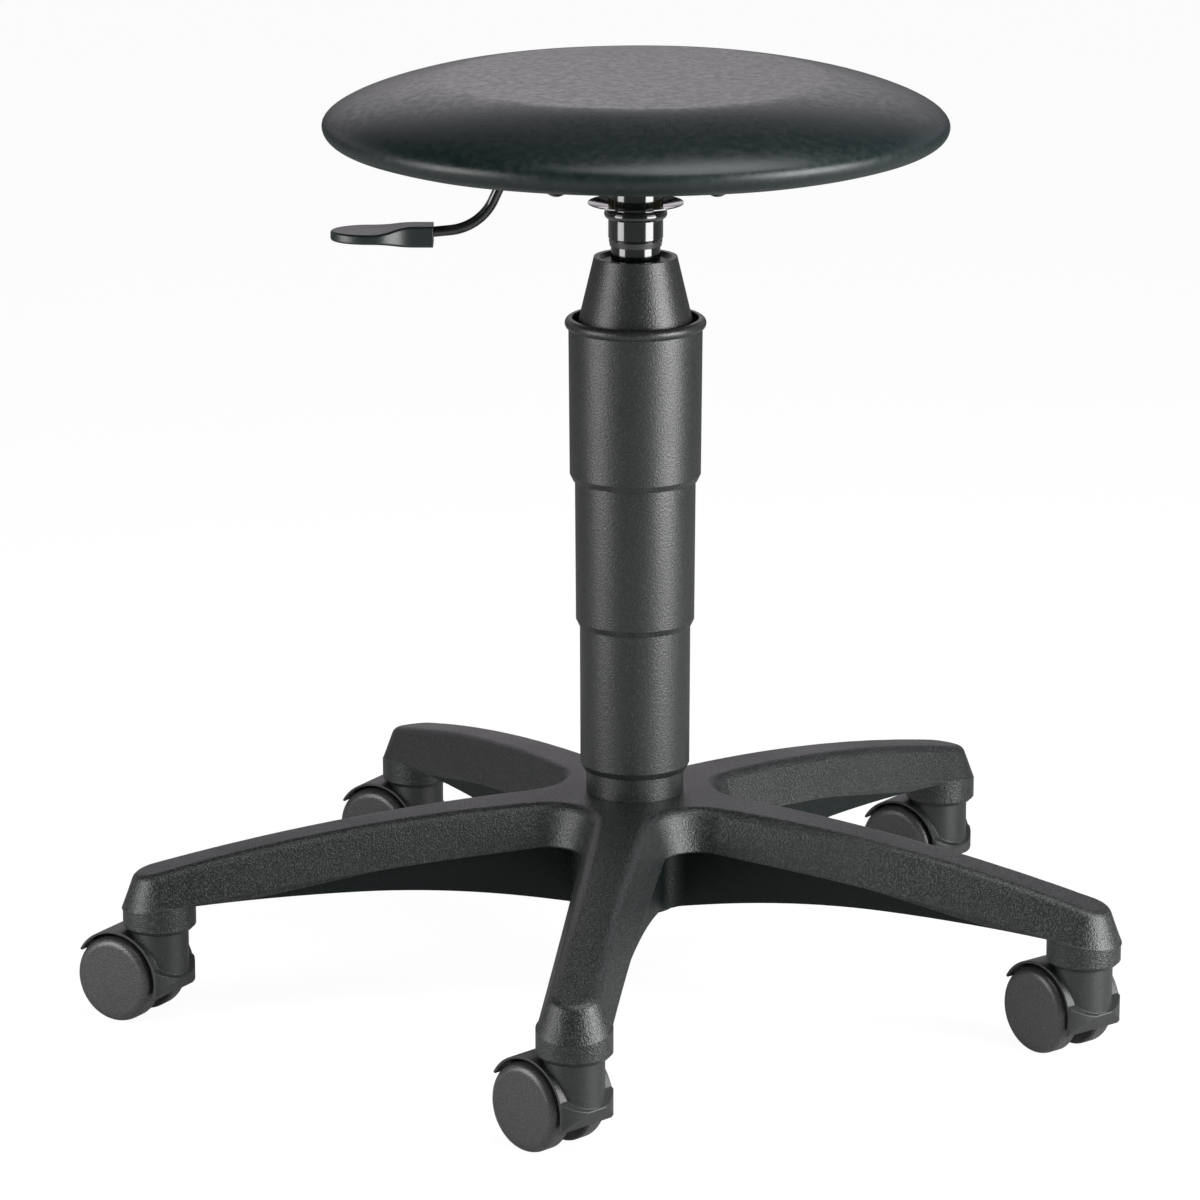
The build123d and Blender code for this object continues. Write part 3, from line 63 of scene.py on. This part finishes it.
def add_node(tree, kind, values=(), **settings):
    """A new node in a material, with its settings and the values of its sockets."""
    made = tree.nodes.new(kind)
    for key, value in settings.items():
        setattr(made, key, value)
    for socket, value in dict(values).items():
        made.inputs[socket].default_value = value
    return made


def ranged(tree, low, high, at_low, at_high):
    """A node that carries the values from low to high onto those from at_low to at_high."""
    limits = {"From Min": low, "From Max": high, "To Min": at_low, "To Max": at_high}
    return add_node(tree, "ShaderNodeMapRange", limits)


def new_finish(name):
    """An empty material, its node tree, its shader and the coordinates that its patterns follow."""
    finish = bpy.data.materials.new(name)
    finish.use_nodes = True
    tree = finish.node_tree
    coords = add_node(tree, "ShaderNodeTexCoord")
    return finish, tree, tree.nodes["Principled BSDF"], coords.outputs["Object"]


def moulded_plastic(name, colour, speck, roughness, grain, depth, specks=0.62, gloss=0.9, edge=0.0006):
    """Moulded plastic: spark grain, specks of another shade on its peaks, and edges rubbed to that shade."""
    finish, tree, shader, place = new_finish(name)
    link = tree.links.new
    pits = add_node(tree, "ShaderNodeTexNoise", {"Scale": 1 / grain, "Detail": 2.0, "Roughness": 0.5})
    cloud = add_node(tree, "ShaderNodeTexNoise", {"Scale": 14.0, "Detail": 4.0, "Roughness": 0.55})
    rounded = add_node(tree, "ShaderNodeBevel", {"Radius": edge}, samples=6)
    face = add_node(tree, "ShaderNodeNewGeometry")
    turn = add_node(tree, "ShaderNodeVectorMath", operation="DOT_PRODUCT")
    rub = ranged(tree, 0.995, 0.86, 0.0, 0.7)
    peaks = ranged(tree, specks, specks + 0.12, 0.0, 0.5)
    pale = add_node(tree, "ShaderNodeMath", operation="MAXIMUM")
    tint = add_node(tree, "ShaderNodeMix", data_type="RGBA")
    tint.inputs["A"].default_value = colour
    tint.inputs["B"].default_value = speck
    shine = ranged(tree, 0.3, 0.7, roughness - 0.05, roughness + 0.06)
    skin = add_node(tree, "ShaderNodeBump", {"Strength": 1.0, "Distance": depth})
    shader.inputs["Specular IOR Level"].default_value = gloss
    link(place, pits.inputs["Vector"])
    link(place, cloud.inputs["Vector"])
    link(rounded.outputs["Normal"], turn.inputs[0])
    link(face.outputs["Normal"], turn.inputs[1])
    link(turn.outputs["Value"], rub.inputs["Value"])
    link(pits.outputs["Fac"], peaks.inputs["Value"])
    link(rub.outputs["Result"], pale.inputs[0])
    link(peaks.outputs["Result"], pale.inputs[1])
    link(pale.outputs["Value"], tint.inputs["Factor"])
    link(tint.outputs["Result"], shader.inputs["Base Color"])
    link(cloud.outputs["Fac"], shine.inputs["Value"])
    link(shine.outputs["Result"], shader.inputs["Roughness"])
    link(pits.outputs["Fac"], skin.inputs["Height"])
    link(rounded.outputs["Normal"], skin.inputs["Normal"])
    link(skin.outputs["Normal"], shader.inputs["Normal"])
    return finish


def dress(finish, *names):
    """Gives these pieces of the frame their finish."""
    for name in names:
        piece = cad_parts[name]
        if not piece.material_slots:
            piece.data.materials.append(finish)
        for place in piece.material_slots:
            place.material = finish


def paint_web_shade(finish):
    """Paints shade on the webs below the arms' skirts: takes their pale specks off and lowers their gloss,
    so they render dark.
    """
    tree = finish.node_tree
    link = tree.links.new
    shader = tree.nodes["Principled BSDF"]
    tint = shader.inputs["Base Color"].links[0].from_node
    specks = tint.inputs["Factor"].links[0].from_socket
    coords = add_node(tree, "ShaderNodeTexCoord")
    split = add_node(tree, "ShaderNodeSeparateXYZ")
    level = add_node(tree, "ShaderNodeVectorMath", {1: (1.0, 1.0, 0.0)}, operation="MULTIPLY")
    radius = add_node(tree, "ShaderNodeVectorMath", operation="LENGTH")
    inner = ranged(tree, SKIRT_HUB_RADIUS, SKIRT_MID_RADIUS, SKIRT_HUB_HEIGHT, SKIRT_MID_HEIGHT)
    outer = ranged(tree, SKIRT_MID_RADIUS, SKIRT_TIP_RADIUS, 0.0, SKIRT_TIP_HEIGHT - SKIRT_MID_HEIGHT)
    skirt = add_node(tree, "ShaderNodeMath", operation="ADD")
    # Painted shade: below the skirt line and inside WEB_END_RADIUS, the pale specks are removed and the
    # gloss is lowered, so the webs render dark.
    below = add_node(tree, "ShaderNodeMath", operation="GREATER_THAN")
    within = add_node(tree, "ShaderNodeMath", {1: WEB_END_RADIUS}, operation="LESS_THAN")
    web_shade_mask = add_node(tree, "ShaderNodeMath", operation="MULTIPLY")
    unshaded_mask = add_node(tree, "ShaderNodeMath", {0: 1.0}, operation="SUBTRACT")
    flecked = add_node(tree, "ShaderNodeMath", operation="MULTIPLY")
    glossy = ranged(tree, 0.0, 1.0, NYLON_GLOSS * (1 - WEB_SHADE_GLOSS_LOST), NYLON_GLOSS)
    link(coords.outputs["Object"], split.inputs["Vector"])
    link(coords.outputs["Object"], level.inputs[0])
    link(level.outputs["Vector"], radius.inputs[0])
    link(radius.outputs["Value"], inner.inputs["Value"])
    link(radius.outputs["Value"], outer.inputs["Value"])
    link(radius.outputs["Value"], within.inputs[0])
    link(inner.outputs["Result"], skirt.inputs[0])
    link(outer.outputs["Result"], skirt.inputs[1])
    link(skirt.outputs["Value"], below.inputs[0])
    link(split.outputs["Z"], below.inputs[1])
    link(below.outputs["Value"], web_shade_mask.inputs[0])
    link(within.outputs["Value"], web_shade_mask.inputs[1])
    link(web_shade_mask.outputs["Value"], unshaded_mask.inputs[1])
    link(specks, flecked.inputs[0])
    link(unshaded_mask.outputs["Value"], flecked.inputs[1])
    link(flecked.outputs["Value"], tint.inputs["Factor"])
    link(unshaded_mask.outputs["Value"], glossy.inputs["Value"])
    link(glossy.outputs["Result"], shader.inputs["Specular IOR Level"])


base_nylon = moulded_plastic(
    "base_nylon", NYLON_BLACK, NYLON_SPECK,
    roughness=0.40, grain=0.0010, depth=0.0004, specks=0.49, gloss=NYLON_GLOSS,
)
# The webs under the arms' skirts get painted shade.
paint_web_shade(base_nylon)
dress(base_nylon, "star_base")

# Casters: a hooded housing that swivels on a steel stem, with a twin pair of plastic discs on a steel axle.
# The stem is held in the arm by a sprung ring of steel wire.
CASTERS = ("front", "right", "rear_right", "rear_left", "left")
HOOD_BLACK = (0.013, 0.0155, 0.0155, 1)
HOOD_SPECK = (0.05, 0.05, 0.052, 1)
WHEEL_BLACK = (0.044, 0.0445, 0.0445, 1)
WHEEL_SPECK = (0.115, 0.115, 0.115, 1)
STEEL_BRIGHT = (0.52, 0.52, 0.53, 1)
STEEL_DULL = (0.34, 0.34, 0.35, 1)


def turned_metal(name, colour, dull, roughness, line=0.0004):
    """Machined metal: fine tool lines round the piece and patches dulled by oil."""
    finish, tree, shader, place = new_finish(name)
    link = tree.links.new
    squeeze = add_node(tree, "ShaderNodeMapping", {"Scale": (6.0, 6.0, 1 / line)})
    lines = add_node(tree, "ShaderNodeTexNoise", {"Scale": 1.0, "Detail": 2.0})
    cloud = add_node(tree, "ShaderNodeTexNoise", {"Scale": 60.0, "Detail": 4.0})
    tint = add_node(tree, "ShaderNodeMix", data_type="RGBA")
    tint.inputs["A"].default_value = colour
    tint.inputs["B"].default_value = dull
    shine = ranged(tree, 0.3, 0.7, roughness - 0.06, roughness + 0.1)
    cuts = add_node(tree, "ShaderNodeBump", {"Strength": 0.25, "Distance": 0.00005})
    shader.inputs["Metallic"].default_value = 1.0
    link(place, squeeze.inputs["Vector"])
    link(squeeze.outputs["Vector"], lines.inputs["Vector"])
    link(place, cloud.inputs["Vector"])
    link(cloud.outputs["Fac"], tint.inputs["Factor"])
    link(tint.outputs["Result"], shader.inputs["Base Color"])
    link(lines.outputs["Fac"], shine.inputs["Value"])
    link(shine.outputs["Result"], shader.inputs["Roughness"])
    link(lines.outputs["Fac"], cuts.inputs["Height"])
    link(cuts.outputs["Normal"], shader.inputs["Normal"])
    return finish


hood_plastic = moulded_plastic(
    "caster_plastic", HOOD_BLACK, HOOD_SPECK,
    roughness=0.42, grain=0.0009, depth=0.00012, specks=0.52,
)
wheel_plastic = moulded_plastic(
    "wheel_plastic", WHEEL_BLACK, WHEEL_SPECK,
    roughness=0.30, grain=0.0009, depth=0.00015, specks=0.48,
)
bright_steel = turned_metal("bright_steel", STEEL_BRIGHT, STEEL_DULL, roughness=0.26)
for place in CASTERS:
    dress(hood_plastic, f"caster_{place}_housing")
    dress(wheel_plastic, f"caster_{place}_near_wheel", f"caster_{place}_far_wheel")
    dress(bright_steel, f"caster_{place}_stem", f"caster_{place}_axle")
dress(bright_steel, "caster_grip_rings")

# Gas lift: a drawn steel tube, enamelled gloss black and pressed into the hub, and a cylinder sliding in it.
# The ground rod, its thrust bearing, the plastic guide and the rubber buffer stay inside.
ENAMEL_BLACK = (0.002, 0.0035, 0.0038, 1)
ENAMEL_WORN = (0.030, 0.031, 0.032, 1)
BUSH_NATURAL = (0.62, 0.61, 0.57, 1)
BUSH_GREASED = (0.46, 0.43, 0.36, 1)
RUBBER_BLACK = (0.016, 0.016, 0.017, 1)
RUBBER_BLOOM = (0.045, 0.044, 0.044, 1)
BRASS_BRIGHT = (0.64, 0.44, 0.17, 1)
BRASS_DULL = (0.42, 0.29, 0.13, 1)


def stove_enamel(name):
    """Gloss black stoving enamel on steel: a faint orange peel under a hard clear gloss."""
    finish, tree, shader, place = new_finish(name)
    link = tree.links.new
    peel = add_node(tree, "ShaderNodeTexNoise", {"Scale": 700.0, "Detail": 2.0})
    cloud = add_node(tree, "ShaderNodeTexNoise", {"Scale": 35.0, "Detail": 4.0})
    tint = add_node(tree, "ShaderNodeMix", data_type="RGBA")
    tint.inputs["A"].default_value = ENAMEL_BLACK
    tint.inputs["B"].default_value = ENAMEL_WORN
    fade = ranged(tree, 0.55, 0.8, 0.0, 0.4)
    shine = ranged(tree, 0.3, 0.7, 0.10, 0.17)
    rounded = add_node(tree, "ShaderNodeBevel", {"Radius": 0.0005}, samples=6)
    skin = add_node(tree, "ShaderNodeBump", {"Strength": 0.12, "Distance": 0.00003})
    shader.inputs["Coat Weight"].default_value = 1.0
    shader.inputs["Coat Roughness"].default_value = 0.06
    shader.inputs["Coat IOR"].default_value = 1.7
    link(place, peel.inputs["Vector"])
    link(place, cloud.inputs["Vector"])
    link(cloud.outputs["Fac"], fade.inputs["Value"])
    link(fade.outputs["Result"], tint.inputs["Factor"])
    link(tint.outputs["Result"], shader.inputs["Base Color"])
    link(cloud.outputs["Fac"], shine.inputs["Value"])
    link(shine.outputs["Result"], shader.inputs["Roughness"])
    link(peel.outputs["Fac"], skin.inputs["Height"])
    link(rounded.outputs["Normal"], skin.inputs["Normal"])
    link(skin.outputs["Normal"], shader.inputs["Normal"])
    return finish


black_steel = stove_enamel("black_steel")
bush_plastic = moulded_plastic(
    "bush_plastic", BUSH_NATURAL, BUSH_GREASED,
    roughness=0.42, grain=0.0015, depth=0.00002,
)
buffer_rubber = moulded_plastic(
    "buffer_rubber", RUBBER_BLACK, RUBBER_BLOOM,
    roughness=0.72, grain=0.0009, depth=0.00004,
)
brass = turned_metal("brass", BRASS_BRIGHT, BRASS_DULL, roughness=0.3)
dress(black_steel, "column_tube", "column_end_plate", "gas_cylinder")
dress(bright_steel, "thrust_lower_race", "thrust_balls", "thrust_upper_race")
dress(bright_steel, "piston_rod", "rod_clip", "release_pin")
dress(bush_plastic, "guide_bush", "piston_ring", "cylinder_end_guide")
dress(buffer_rubber, "rod_buffer")
dress(brass, "piston", "cylinder_valve")

# Telescopic covers: three thin sleeves and a cone of satin black plastic that slide over each other.
# The lowest stands in a foot ring on the hub, and the top one and its cone hang on the cylinder.
COVER_BLACK = (0.014, 0.0160, 0.0158, 1)
COVER_SPECK = (0.062, 0.062, 0.064, 1)
cover_plastic = moulded_plastic(
    "cover_plastic", COVER_BLACK, COVER_SPECK,
    roughness=0.37, grain=0.0011, depth=0.00018, specks=0.54,
)
dress(cover_plastic, "cover_foot_ring", "cover_lower_sleeve", "cover_mid_sleeve")
dress(cover_plastic, "cover_top_sleeve", "cover_cone")

# Seat steel: a pressed plate with a welded socket that grips the cylinder's taper, all enamelled black.
# A block under the plate carries the pin that the height lever turns on.
dress(black_steel, "seat_plate", "plate_socket", "lever_block")
dress(bright_steel, "lever_pin")

# Height lever: a bent steel rod, enamelled black, that presses the valve's pin when its end is pulled up.
# Its paddle is a satin black moulding pushed onto the flattened end of the rod.
GRIP_BLACK = (0.007, 0.0140, 0.0140, 1)
GRIP_SPECK = (0.05, 0.05, 0.052, 1)
grip_plastic = moulded_plastic(
    "grip_plastic", GRIP_BLACK, GRIP_SPECK,
    roughness=0.38, grain=0.0006, depth=0.00006,
)
dress(black_steel, "lever_rod")
dress(grip_plastic, "lever_grip")

# Seat board: a round of birch plywood moulded into the foam, with steel tee nuts let into its top.
# Four black screws hold the steel plate to it from below.
PLY_PALE = (0.56, 0.40, 0.235, 1)
PLY_DARK = (0.36, 0.22, 0.11, 1)


def birch_ply(name):
    """Birch plywood: long grain on the faces and the glued plies in bands round the edge."""
    finish, tree, shader, place = new_finish(name)
    link = tree.links.new
    squeeze = add_node(tree, "ShaderNodeMapping", {"Scale": (9.0, 140.0, 140.0)})
    grain = add_node(tree, "ShaderNodeTexNoise", {"Scale": 1.0, "Detail": 5.0, "Distortion": 0.6})
    plies = add_node(tree, "ShaderNodeTexWave", {"Scale": 110.0, "Distortion": 0.4}, bands_direction="Z")
    both = add_node(tree, "ShaderNodeMath", operation="MULTIPLY")
    tint = add_node(tree, "ShaderNodeMix", data_type="RGBA")
    tint.inputs["A"].default_value = PLY_PALE
    tint.inputs["B"].default_value = PLY_DARK
    pores = add_node(tree, "ShaderNodeBump", {"Strength": 0.4, "Distance": 0.0001})
    shader.inputs["Roughness"].default_value = 0.6
    link(place, squeeze.inputs["Vector"])
    link(squeeze.outputs["Vector"], grain.inputs["Vector"])
    link(place, plies.inputs["Vector"])
    link(grain.outputs["Fac"], both.inputs[0])
    link(plies.outputs["Fac"], both.inputs[1])
    link(both.outputs["Value"], tint.inputs["Factor"])
    link(tint.outputs["Result"], shader.inputs["Base Color"])
    link(grain.outputs["Fac"], pores.inputs["Height"])
    link(pores.outputs["Normal"], shader.inputs["Normal"])
    return finish


dress(birch_ply("plywood"), "seat_board")
dress(bright_steel, "seat_tee_nuts")
dress(black_steel, "seat_screws")

# Seat: one round cushion of polyurethane foam with an integral black skin, moulded around the board.
# The skin takes a fine leather grain from the mould, and its top is flat with a full, drawn-in edge.
SEAT_BLACK = (0.003, 0.0120, 0.0120, 1)
SEAT_RUBBED = (0.022, 0.023, 0.024, 1)
TOP_SINK = 0.0020
FLAT_RADIUS = 0.1050
CROWN_PULL = 0.0106
RIM_HEIGHT = 0.0143
RIM_RISE = 0.0134
RIM_DROP = 0.0115
UNDER_RADIUS = 0.1246
UNDER_PULL = 0.0270
CURVE_STEPS = 24
SPIN_STEPS = 160
MERGE_DISTANCE = 0.00001
UNEVEN = 0.0006
UNEVEN_PITCH = 18
WORN_DEPTH = 0.003
UNWORN_ROUGHNESS = 0.12


def foam_skin(name, worn_from, worn_to):
    """Integral foam skin: small leather cells with creases, and a sheen that sitting has polished on top."""
    finish, tree, shader, place = new_finish(name)
    link = tree.links.new
    cells = add_node(tree, "ShaderNodeTexVoronoi", {"Scale": 520.0}, feature="DISTANCE_TO_EDGE")
    pores = add_node(tree, "ShaderNodeTexNoise", {"Scale": 1400.0, "Detail": 3.0})
    cloud = add_node(tree, "ShaderNodeTexNoise", {"Scale": 210.0, "Detail": 3.0, "Roughness": 0.6})
    crease = ranged(tree, 0.0, 0.5, 0.0, 1.0)
    height = add_node(tree, "ShaderNodeMath", {1: 0.35}, operation="MULTIPLY_ADD")
    swell = add_node(tree, "ShaderNodeMath", {1: 1.5}, operation="MULTIPLY_ADD")
    gloss = ranged(tree, 0.35, 0.65, 0.66, 0.80)
    tint = add_node(tree, "ShaderNodeMix", data_type="RGBA")
    tint.inputs["A"].default_value = SEAT_BLACK
    tint.inputs["B"].default_value = SEAT_RUBBED
    fade = ranged(tree, 0.45, 0.75, 0.0, 0.12)
    shine = ranged(tree, 0.35, 0.65, 0.24, 0.35)
    upright = add_node(tree, "ShaderNodeSeparateXYZ")
    worn = ranged(tree, worn_from, worn_to, UNWORN_ROUGHNESS, 0.0)
    matt = add_node(tree, "ShaderNodeMath", operation="ADD")
    skin = add_node(tree, "ShaderNodeBump", {"Strength": 0.5, "Distance": 0.00005})
    link(place, cells.inputs["Vector"])
    link(place, pores.inputs["Vector"])
    link(place, cloud.inputs["Vector"])
    link(cells.outputs["Distance"], crease.inputs["Value"])
    link(pores.outputs["Fac"], height.inputs[0])
    link(crease.outputs["Result"], height.inputs[2])
    link(cloud.outputs["Fac"], fade.inputs["Value"])
    link(fade.outputs["Result"], tint.inputs["Factor"])
    link(tint.outputs["Result"], shader.inputs["Base Color"])
    link(cloud.outputs["Fac"], shine.inputs["Value"])
    link(place, upright.inputs["Vector"])
    link(upright.outputs["Z"], worn.inputs["Value"])
    link(shine.outputs["Result"], matt.inputs[0])
    link(worn.outputs["Result"], matt.inputs[1])
    link(matt.outputs["Value"], shader.inputs["Roughness"])
    link(cloud.outputs["Fac"], swell.inputs[0])
    link(height.outputs["Value"], swell.inputs[2])
    link(cloud.outputs["Fac"], gloss.inputs["Value"])
    link(gloss.outputs["Result"], shader.inputs["Specular IOR Level"])
    link(swell.outputs["Value"], skin.inputs["Height"])
    link(skin.outputs["Normal"], shader.inputs["Normal"])
    return finish


seat_low, seat_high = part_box("seat_cushion")
board_low, board_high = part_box("seat_board")
seat_radius = seat_high.x
rim = seat_low.z + RIM_HEIGHT
top = seat_high.z - TOP_SINK
crown = interpolate_bezier(
    Vector((FLAT_RADIUS, 0, top)), Vector((FLAT_RADIUS + CROWN_PULL, 0, top)),
    Vector((seat_radius, 0, rim + RIM_RISE)), Vector((seat_radius, 0, rim)), CURVE_STEPS,
)
under = interpolate_bezier(
    Vector((seat_radius, 0, rim)), Vector((seat_radius, 0, rim - RIM_DROP)),
    Vector((UNDER_RADIUS + UNDER_PULL, 0, seat_low.z)), Vector((UNDER_RADIUS, 0, seat_low.z)), CURVE_STEPS,
)
recess = [
    Vector((board_high.x, 0, seat_low.z)),
    Vector((board_high.x, 0, board_high.z)),
    Vector((0, 0, board_high.z)),
]
shape = bmesh.new()
outline = [shape.verts.new(point) for point in [Vector((0, 0, top)), *crown, *under[1:], *recess]]
profile = [shape.edges.new(pair) for pair in zip(outline, outline[1:])]
bmesh.ops.spin(
    shape, geom=outline + profile, axis=(0, 0, 1), cent=(0, 0, 0), angle=radians(360), steps=SPIN_STEPS,
    use_merge=True,
)
bmesh.ops.remove_doubles(shape, verts=shape.verts, dist=MERGE_DISTANCE)
bmesh.ops.recalc_face_normals(shape, faces=shape.faces)
for vert in shape.verts:
    if vert.co.z > seat_low.z + UNEVEN and vert.co.xy.length > FLAT_RADIUS / 2:
        vert.co += vert.normal * UNEVEN * noise.noise(vert.co * UNEVEN_PITCH) / 2
seat_mesh = bpy.data.meshes.new("seat_skin")
shape.to_mesh(seat_mesh)
shape.free()
seat_mesh.shade_smooth()
seat = bpy.data.objects.new("seat_skin", seat_mesh)
bpy.context.scene.collection.objects.link(seat)
seat_mesh.materials.append(foam_skin("seat_foam", rim, top - WORN_DEPTH))
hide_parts("seat_cushion")
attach(seat, "lift")

# Floor: a plain matt sheet that runs far behind the stool. The camera sees it white, with a faint shadow
# under the stool, and reflections see a little of that white.
FLOOR_SIZE = 30.0
FLOOR_WHITE = (0.45, 0.45, 0.45, 1)
FLOOR_ROUGHNESS = 0.9
FLOOR_SHADOW_SHARE = 0.3
FLOOR_GLOW = 1.35
FLOOR_MIRRORED = 0.1
ground = bmesh.new()
bmesh.ops.create_grid(ground, x_segments=1, y_segments=1, size=FLOOR_SIZE)
floor_mesh = bpy.data.meshes.new("floor")
ground.to_mesh(floor_mesh)
ground.free()
floor = bpy.data.objects.new("floor", floor_mesh)
bpy.context.scene.collection.objects.link(floor)
floor_paint = bpy.data.materials.new("floor_white")
floor_paint.use_nodes = True
tree = floor_paint.node_tree
matt = tree.nodes["Principled BSDF"]
matt.inputs["Base Color"].default_value = FLOOR_WHITE
matt.inputs["Roughness"].default_value = FLOOR_ROUGHNESS
glow = add_node(tree, "ShaderNodeEmission", {"Strength": FLOOR_GLOW})
seen = add_node(tree, "ShaderNodeLightPath")
mirror = add_node(tree, "ShaderNodeMath", {1: FLOOR_MIRRORED}, operation="MULTIPLY")
through = add_node(tree, "ShaderNodeMath", operation="MAXIMUM")
either = add_node(tree, "ShaderNodeMath", operation="MAXIMUM")
share = add_node(tree, "ShaderNodeMath", {1: 1 - FLOOR_SHADOW_SHARE}, operation="MULTIPLY")
blend = add_node(tree, "ShaderNodeMixShader")
tree.links.new(seen.outputs["Is Camera Ray"], through.inputs[0])
tree.links.new(seen.outputs["Is Transmission Ray"], through.inputs[1])
tree.links.new(seen.outputs["Is Glossy Ray"], mirror.inputs[0])
tree.links.new(through.outputs["Value"], either.inputs[0])
tree.links.new(mirror.outputs["Value"], either.inputs[1])
tree.links.new(either.outputs["Value"], share.inputs[0])
tree.links.new(share.outputs["Value"], blend.inputs["Fac"])
tree.links.new(matt.outputs["BSDF"], blend.inputs[1])
tree.links.new(glow.outputs["Emission"], blend.inputs[2])
tree.links.new(blend.outputs["Shader"], tree.nodes["Material Output"].inputs["Surface"])
floor_mesh.materials.append(floor_paint)

# Room: a dim even light from all sides that the camera sees as white. Reflections see white low behind
# the stool, and a darker room overhead, at the sides and behind the camera. Each range holds the two ends
# of a direction and the share of white at each.
ROOM_LEVEL = 0.12
ROOM_TINT = (1.0, 0.94, 1.0)
ROOM_DEPTH = (-0.2, 0.5, 0.12, 1.0)
ROOM_OVERHEAD = (0.38, 0.53, 1.0, 0.10)
ROOM_HORIZON = (0.02, 0.20, 0.1, 1.0)
ROOM_SIDES = (0.0, 0.35, 1.1, 0.45)
ROOM_CENTRE = -0.03
room = bpy.data.worlds.new("room")
bpy.context.scene.world = room
room.use_nodes = True
tree = room.node_tree
sky = tree.nodes["Background"]
sky.inputs["Strength"].default_value = 1.0
look = add_node(tree, "ShaderNodeTexCoord")
split = add_node(tree, "ShaderNodeSeparateXYZ")
behind = ranged(tree, *ROOM_DEPTH)
overhead = ranged(tree, *ROOM_OVERHEAD)
horizon = ranged(tree, *ROOM_HORIZON)
aside = add_node(tree, "ShaderNodeMath", {1: ROOM_CENTRE}, operation="SUBTRACT")
apart = add_node(tree, "ShaderNodeMath", operation="ABSOLUTE")
sides = ranged(tree, *ROOM_SIDES)
height = add_node(tree, "ShaderNodeMath", operation="MULTIPLY")
mirrored = add_node(tree, "ShaderNodeMath", operation="MULTIPLY")
uneven = add_node(tree, "ShaderNodeMath", operation="MULTIPLY")
seen = add_node(tree, "ShaderNodeLightPath")
clear = add_node(tree, "ShaderNodeMath", operation="MAXIMUM")
tinted = add_node(tree, "ShaderNodeVectorMath", {0: ROOM_TINT}, operation="SCALE")
shown = add_node(tree, "ShaderNodeMix", data_type="RGBA")
shown.inputs["A"].default_value = (ROOM_LEVEL, ROOM_LEVEL, ROOM_LEVEL, 1)
plain = add_node(tree, "ShaderNodeMix", data_type="RGBA")
plain.inputs["B"].default_value = (1, 1, 1, 1)
tree.links.new(look.outputs["Generated"], split.inputs["Vector"])
tree.links.new(split.outputs["Y"], behind.inputs["Value"])
tree.links.new(split.outputs["Z"], overhead.inputs["Value"])
tree.links.new(behind.outputs["Result"], mirrored.inputs[0])
tree.links.new(split.outputs["Z"], horizon.inputs["Value"])
tree.links.new(overhead.outputs["Result"], height.inputs[0])
tree.links.new(horizon.outputs["Result"], height.inputs[1])
tree.links.new(height.outputs["Value"], mirrored.inputs[1])
tree.links.new(seen.outputs["Is Glossy Ray"], shown.inputs["Factor"])
tree.links.new(split.outputs["X"], aside.inputs[0])
tree.links.new(aside.outputs["Value"], apart.inputs[0])
tree.links.new(apart.outputs["Value"], sides.inputs["Value"])
tree.links.new(mirrored.outputs["Value"], uneven.inputs[0])
tree.links.new(sides.outputs["Result"], uneven.inputs[1])
tree.links.new(uneven.outputs["Value"], tinted.inputs["Scale"])
tree.links.new(tinted.outputs["Vector"], shown.inputs["B"])
tree.links.new(seen.outputs["Is Camera Ray"], clear.inputs[0])
tree.links.new(seen.outputs["Is Transmission Ray"], clear.inputs[1])
tree.links.new(clear.outputs["Value"], plain.inputs["Factor"])
tree.links.new(shown.outputs["Result"], plain.inputs["A"])
tree.links.new(plain.outputs["Result"], sky.inputs["Color"])

# Lamps: a low softbox on each side, the right one the stronger, and a broad one overhead to the right.
# The low ones give the covers their long highlights and the seat the pale band along its lower edge.
LAMP_AIM = Vector((0, 0, 0.28))


def softbox(name, angle, distance, height, width, tall, watts):
    """A soft lamp at an angle round the stool, measured from the camera's side, aimed at the column."""
    lamp = bpy.data.lights.new(name, "AREA")
    lamp.shape = "RECTANGLE"
    lamp.size = width
    lamp.size_y = tall
    lamp.energy = watts
    stand = bpy.data.objects.new(name, lamp)
    stand.location = (sin(radians(angle)) * distance, -cos(radians(angle)) * distance, height)
    stand.rotation_mode = "QUATERNION"
    stand.rotation_quaternion = (LAMP_AIM - stand.location).to_track_quat("-Z", "Y")
    bpy.context.scene.collection.objects.link(stand)


softbox("left_softbox", angle=-66, distance=1.25, height=0.43, width=0.66, tall=0.80, watts=7.6)
softbox("right_softbox", angle=60, distance=1.25, height=0.43, width=0.80, tall=0.80, watts=17.0)
softbox("top_softbox", angle=42, distance=0.60, height=1.75, width=1.2, tall=1.2, watts=14.0)

# Camera: a long lens well above the seat, about three metres in front of the stool, looking down on it.
# It does not turn to either side, so the column stands upright in the picture.
CAMERA_PLACE = (-0.020107, -3.13606, 1.05945)
CAMERA_TILT = 75.252
CAMERA_SENSOR = 36.0
CAMERA_LENS = 169.8
camera_lens = bpy.data.cameras.new("camera")
camera_lens.sensor_width = CAMERA_SENSOR
camera_lens.lens = CAMERA_LENS
camera = bpy.data.objects.new("camera", camera_lens)
camera.location = CAMERA_PLACE
camera.rotation_euler = (radians(CAMERA_TILT), 0, 0)
bpy.context.scene.collection.objects.link(camera)
bpy.context.scene.camera = camera
bpy.context.scene.view_settings.view_transform = "Standard"
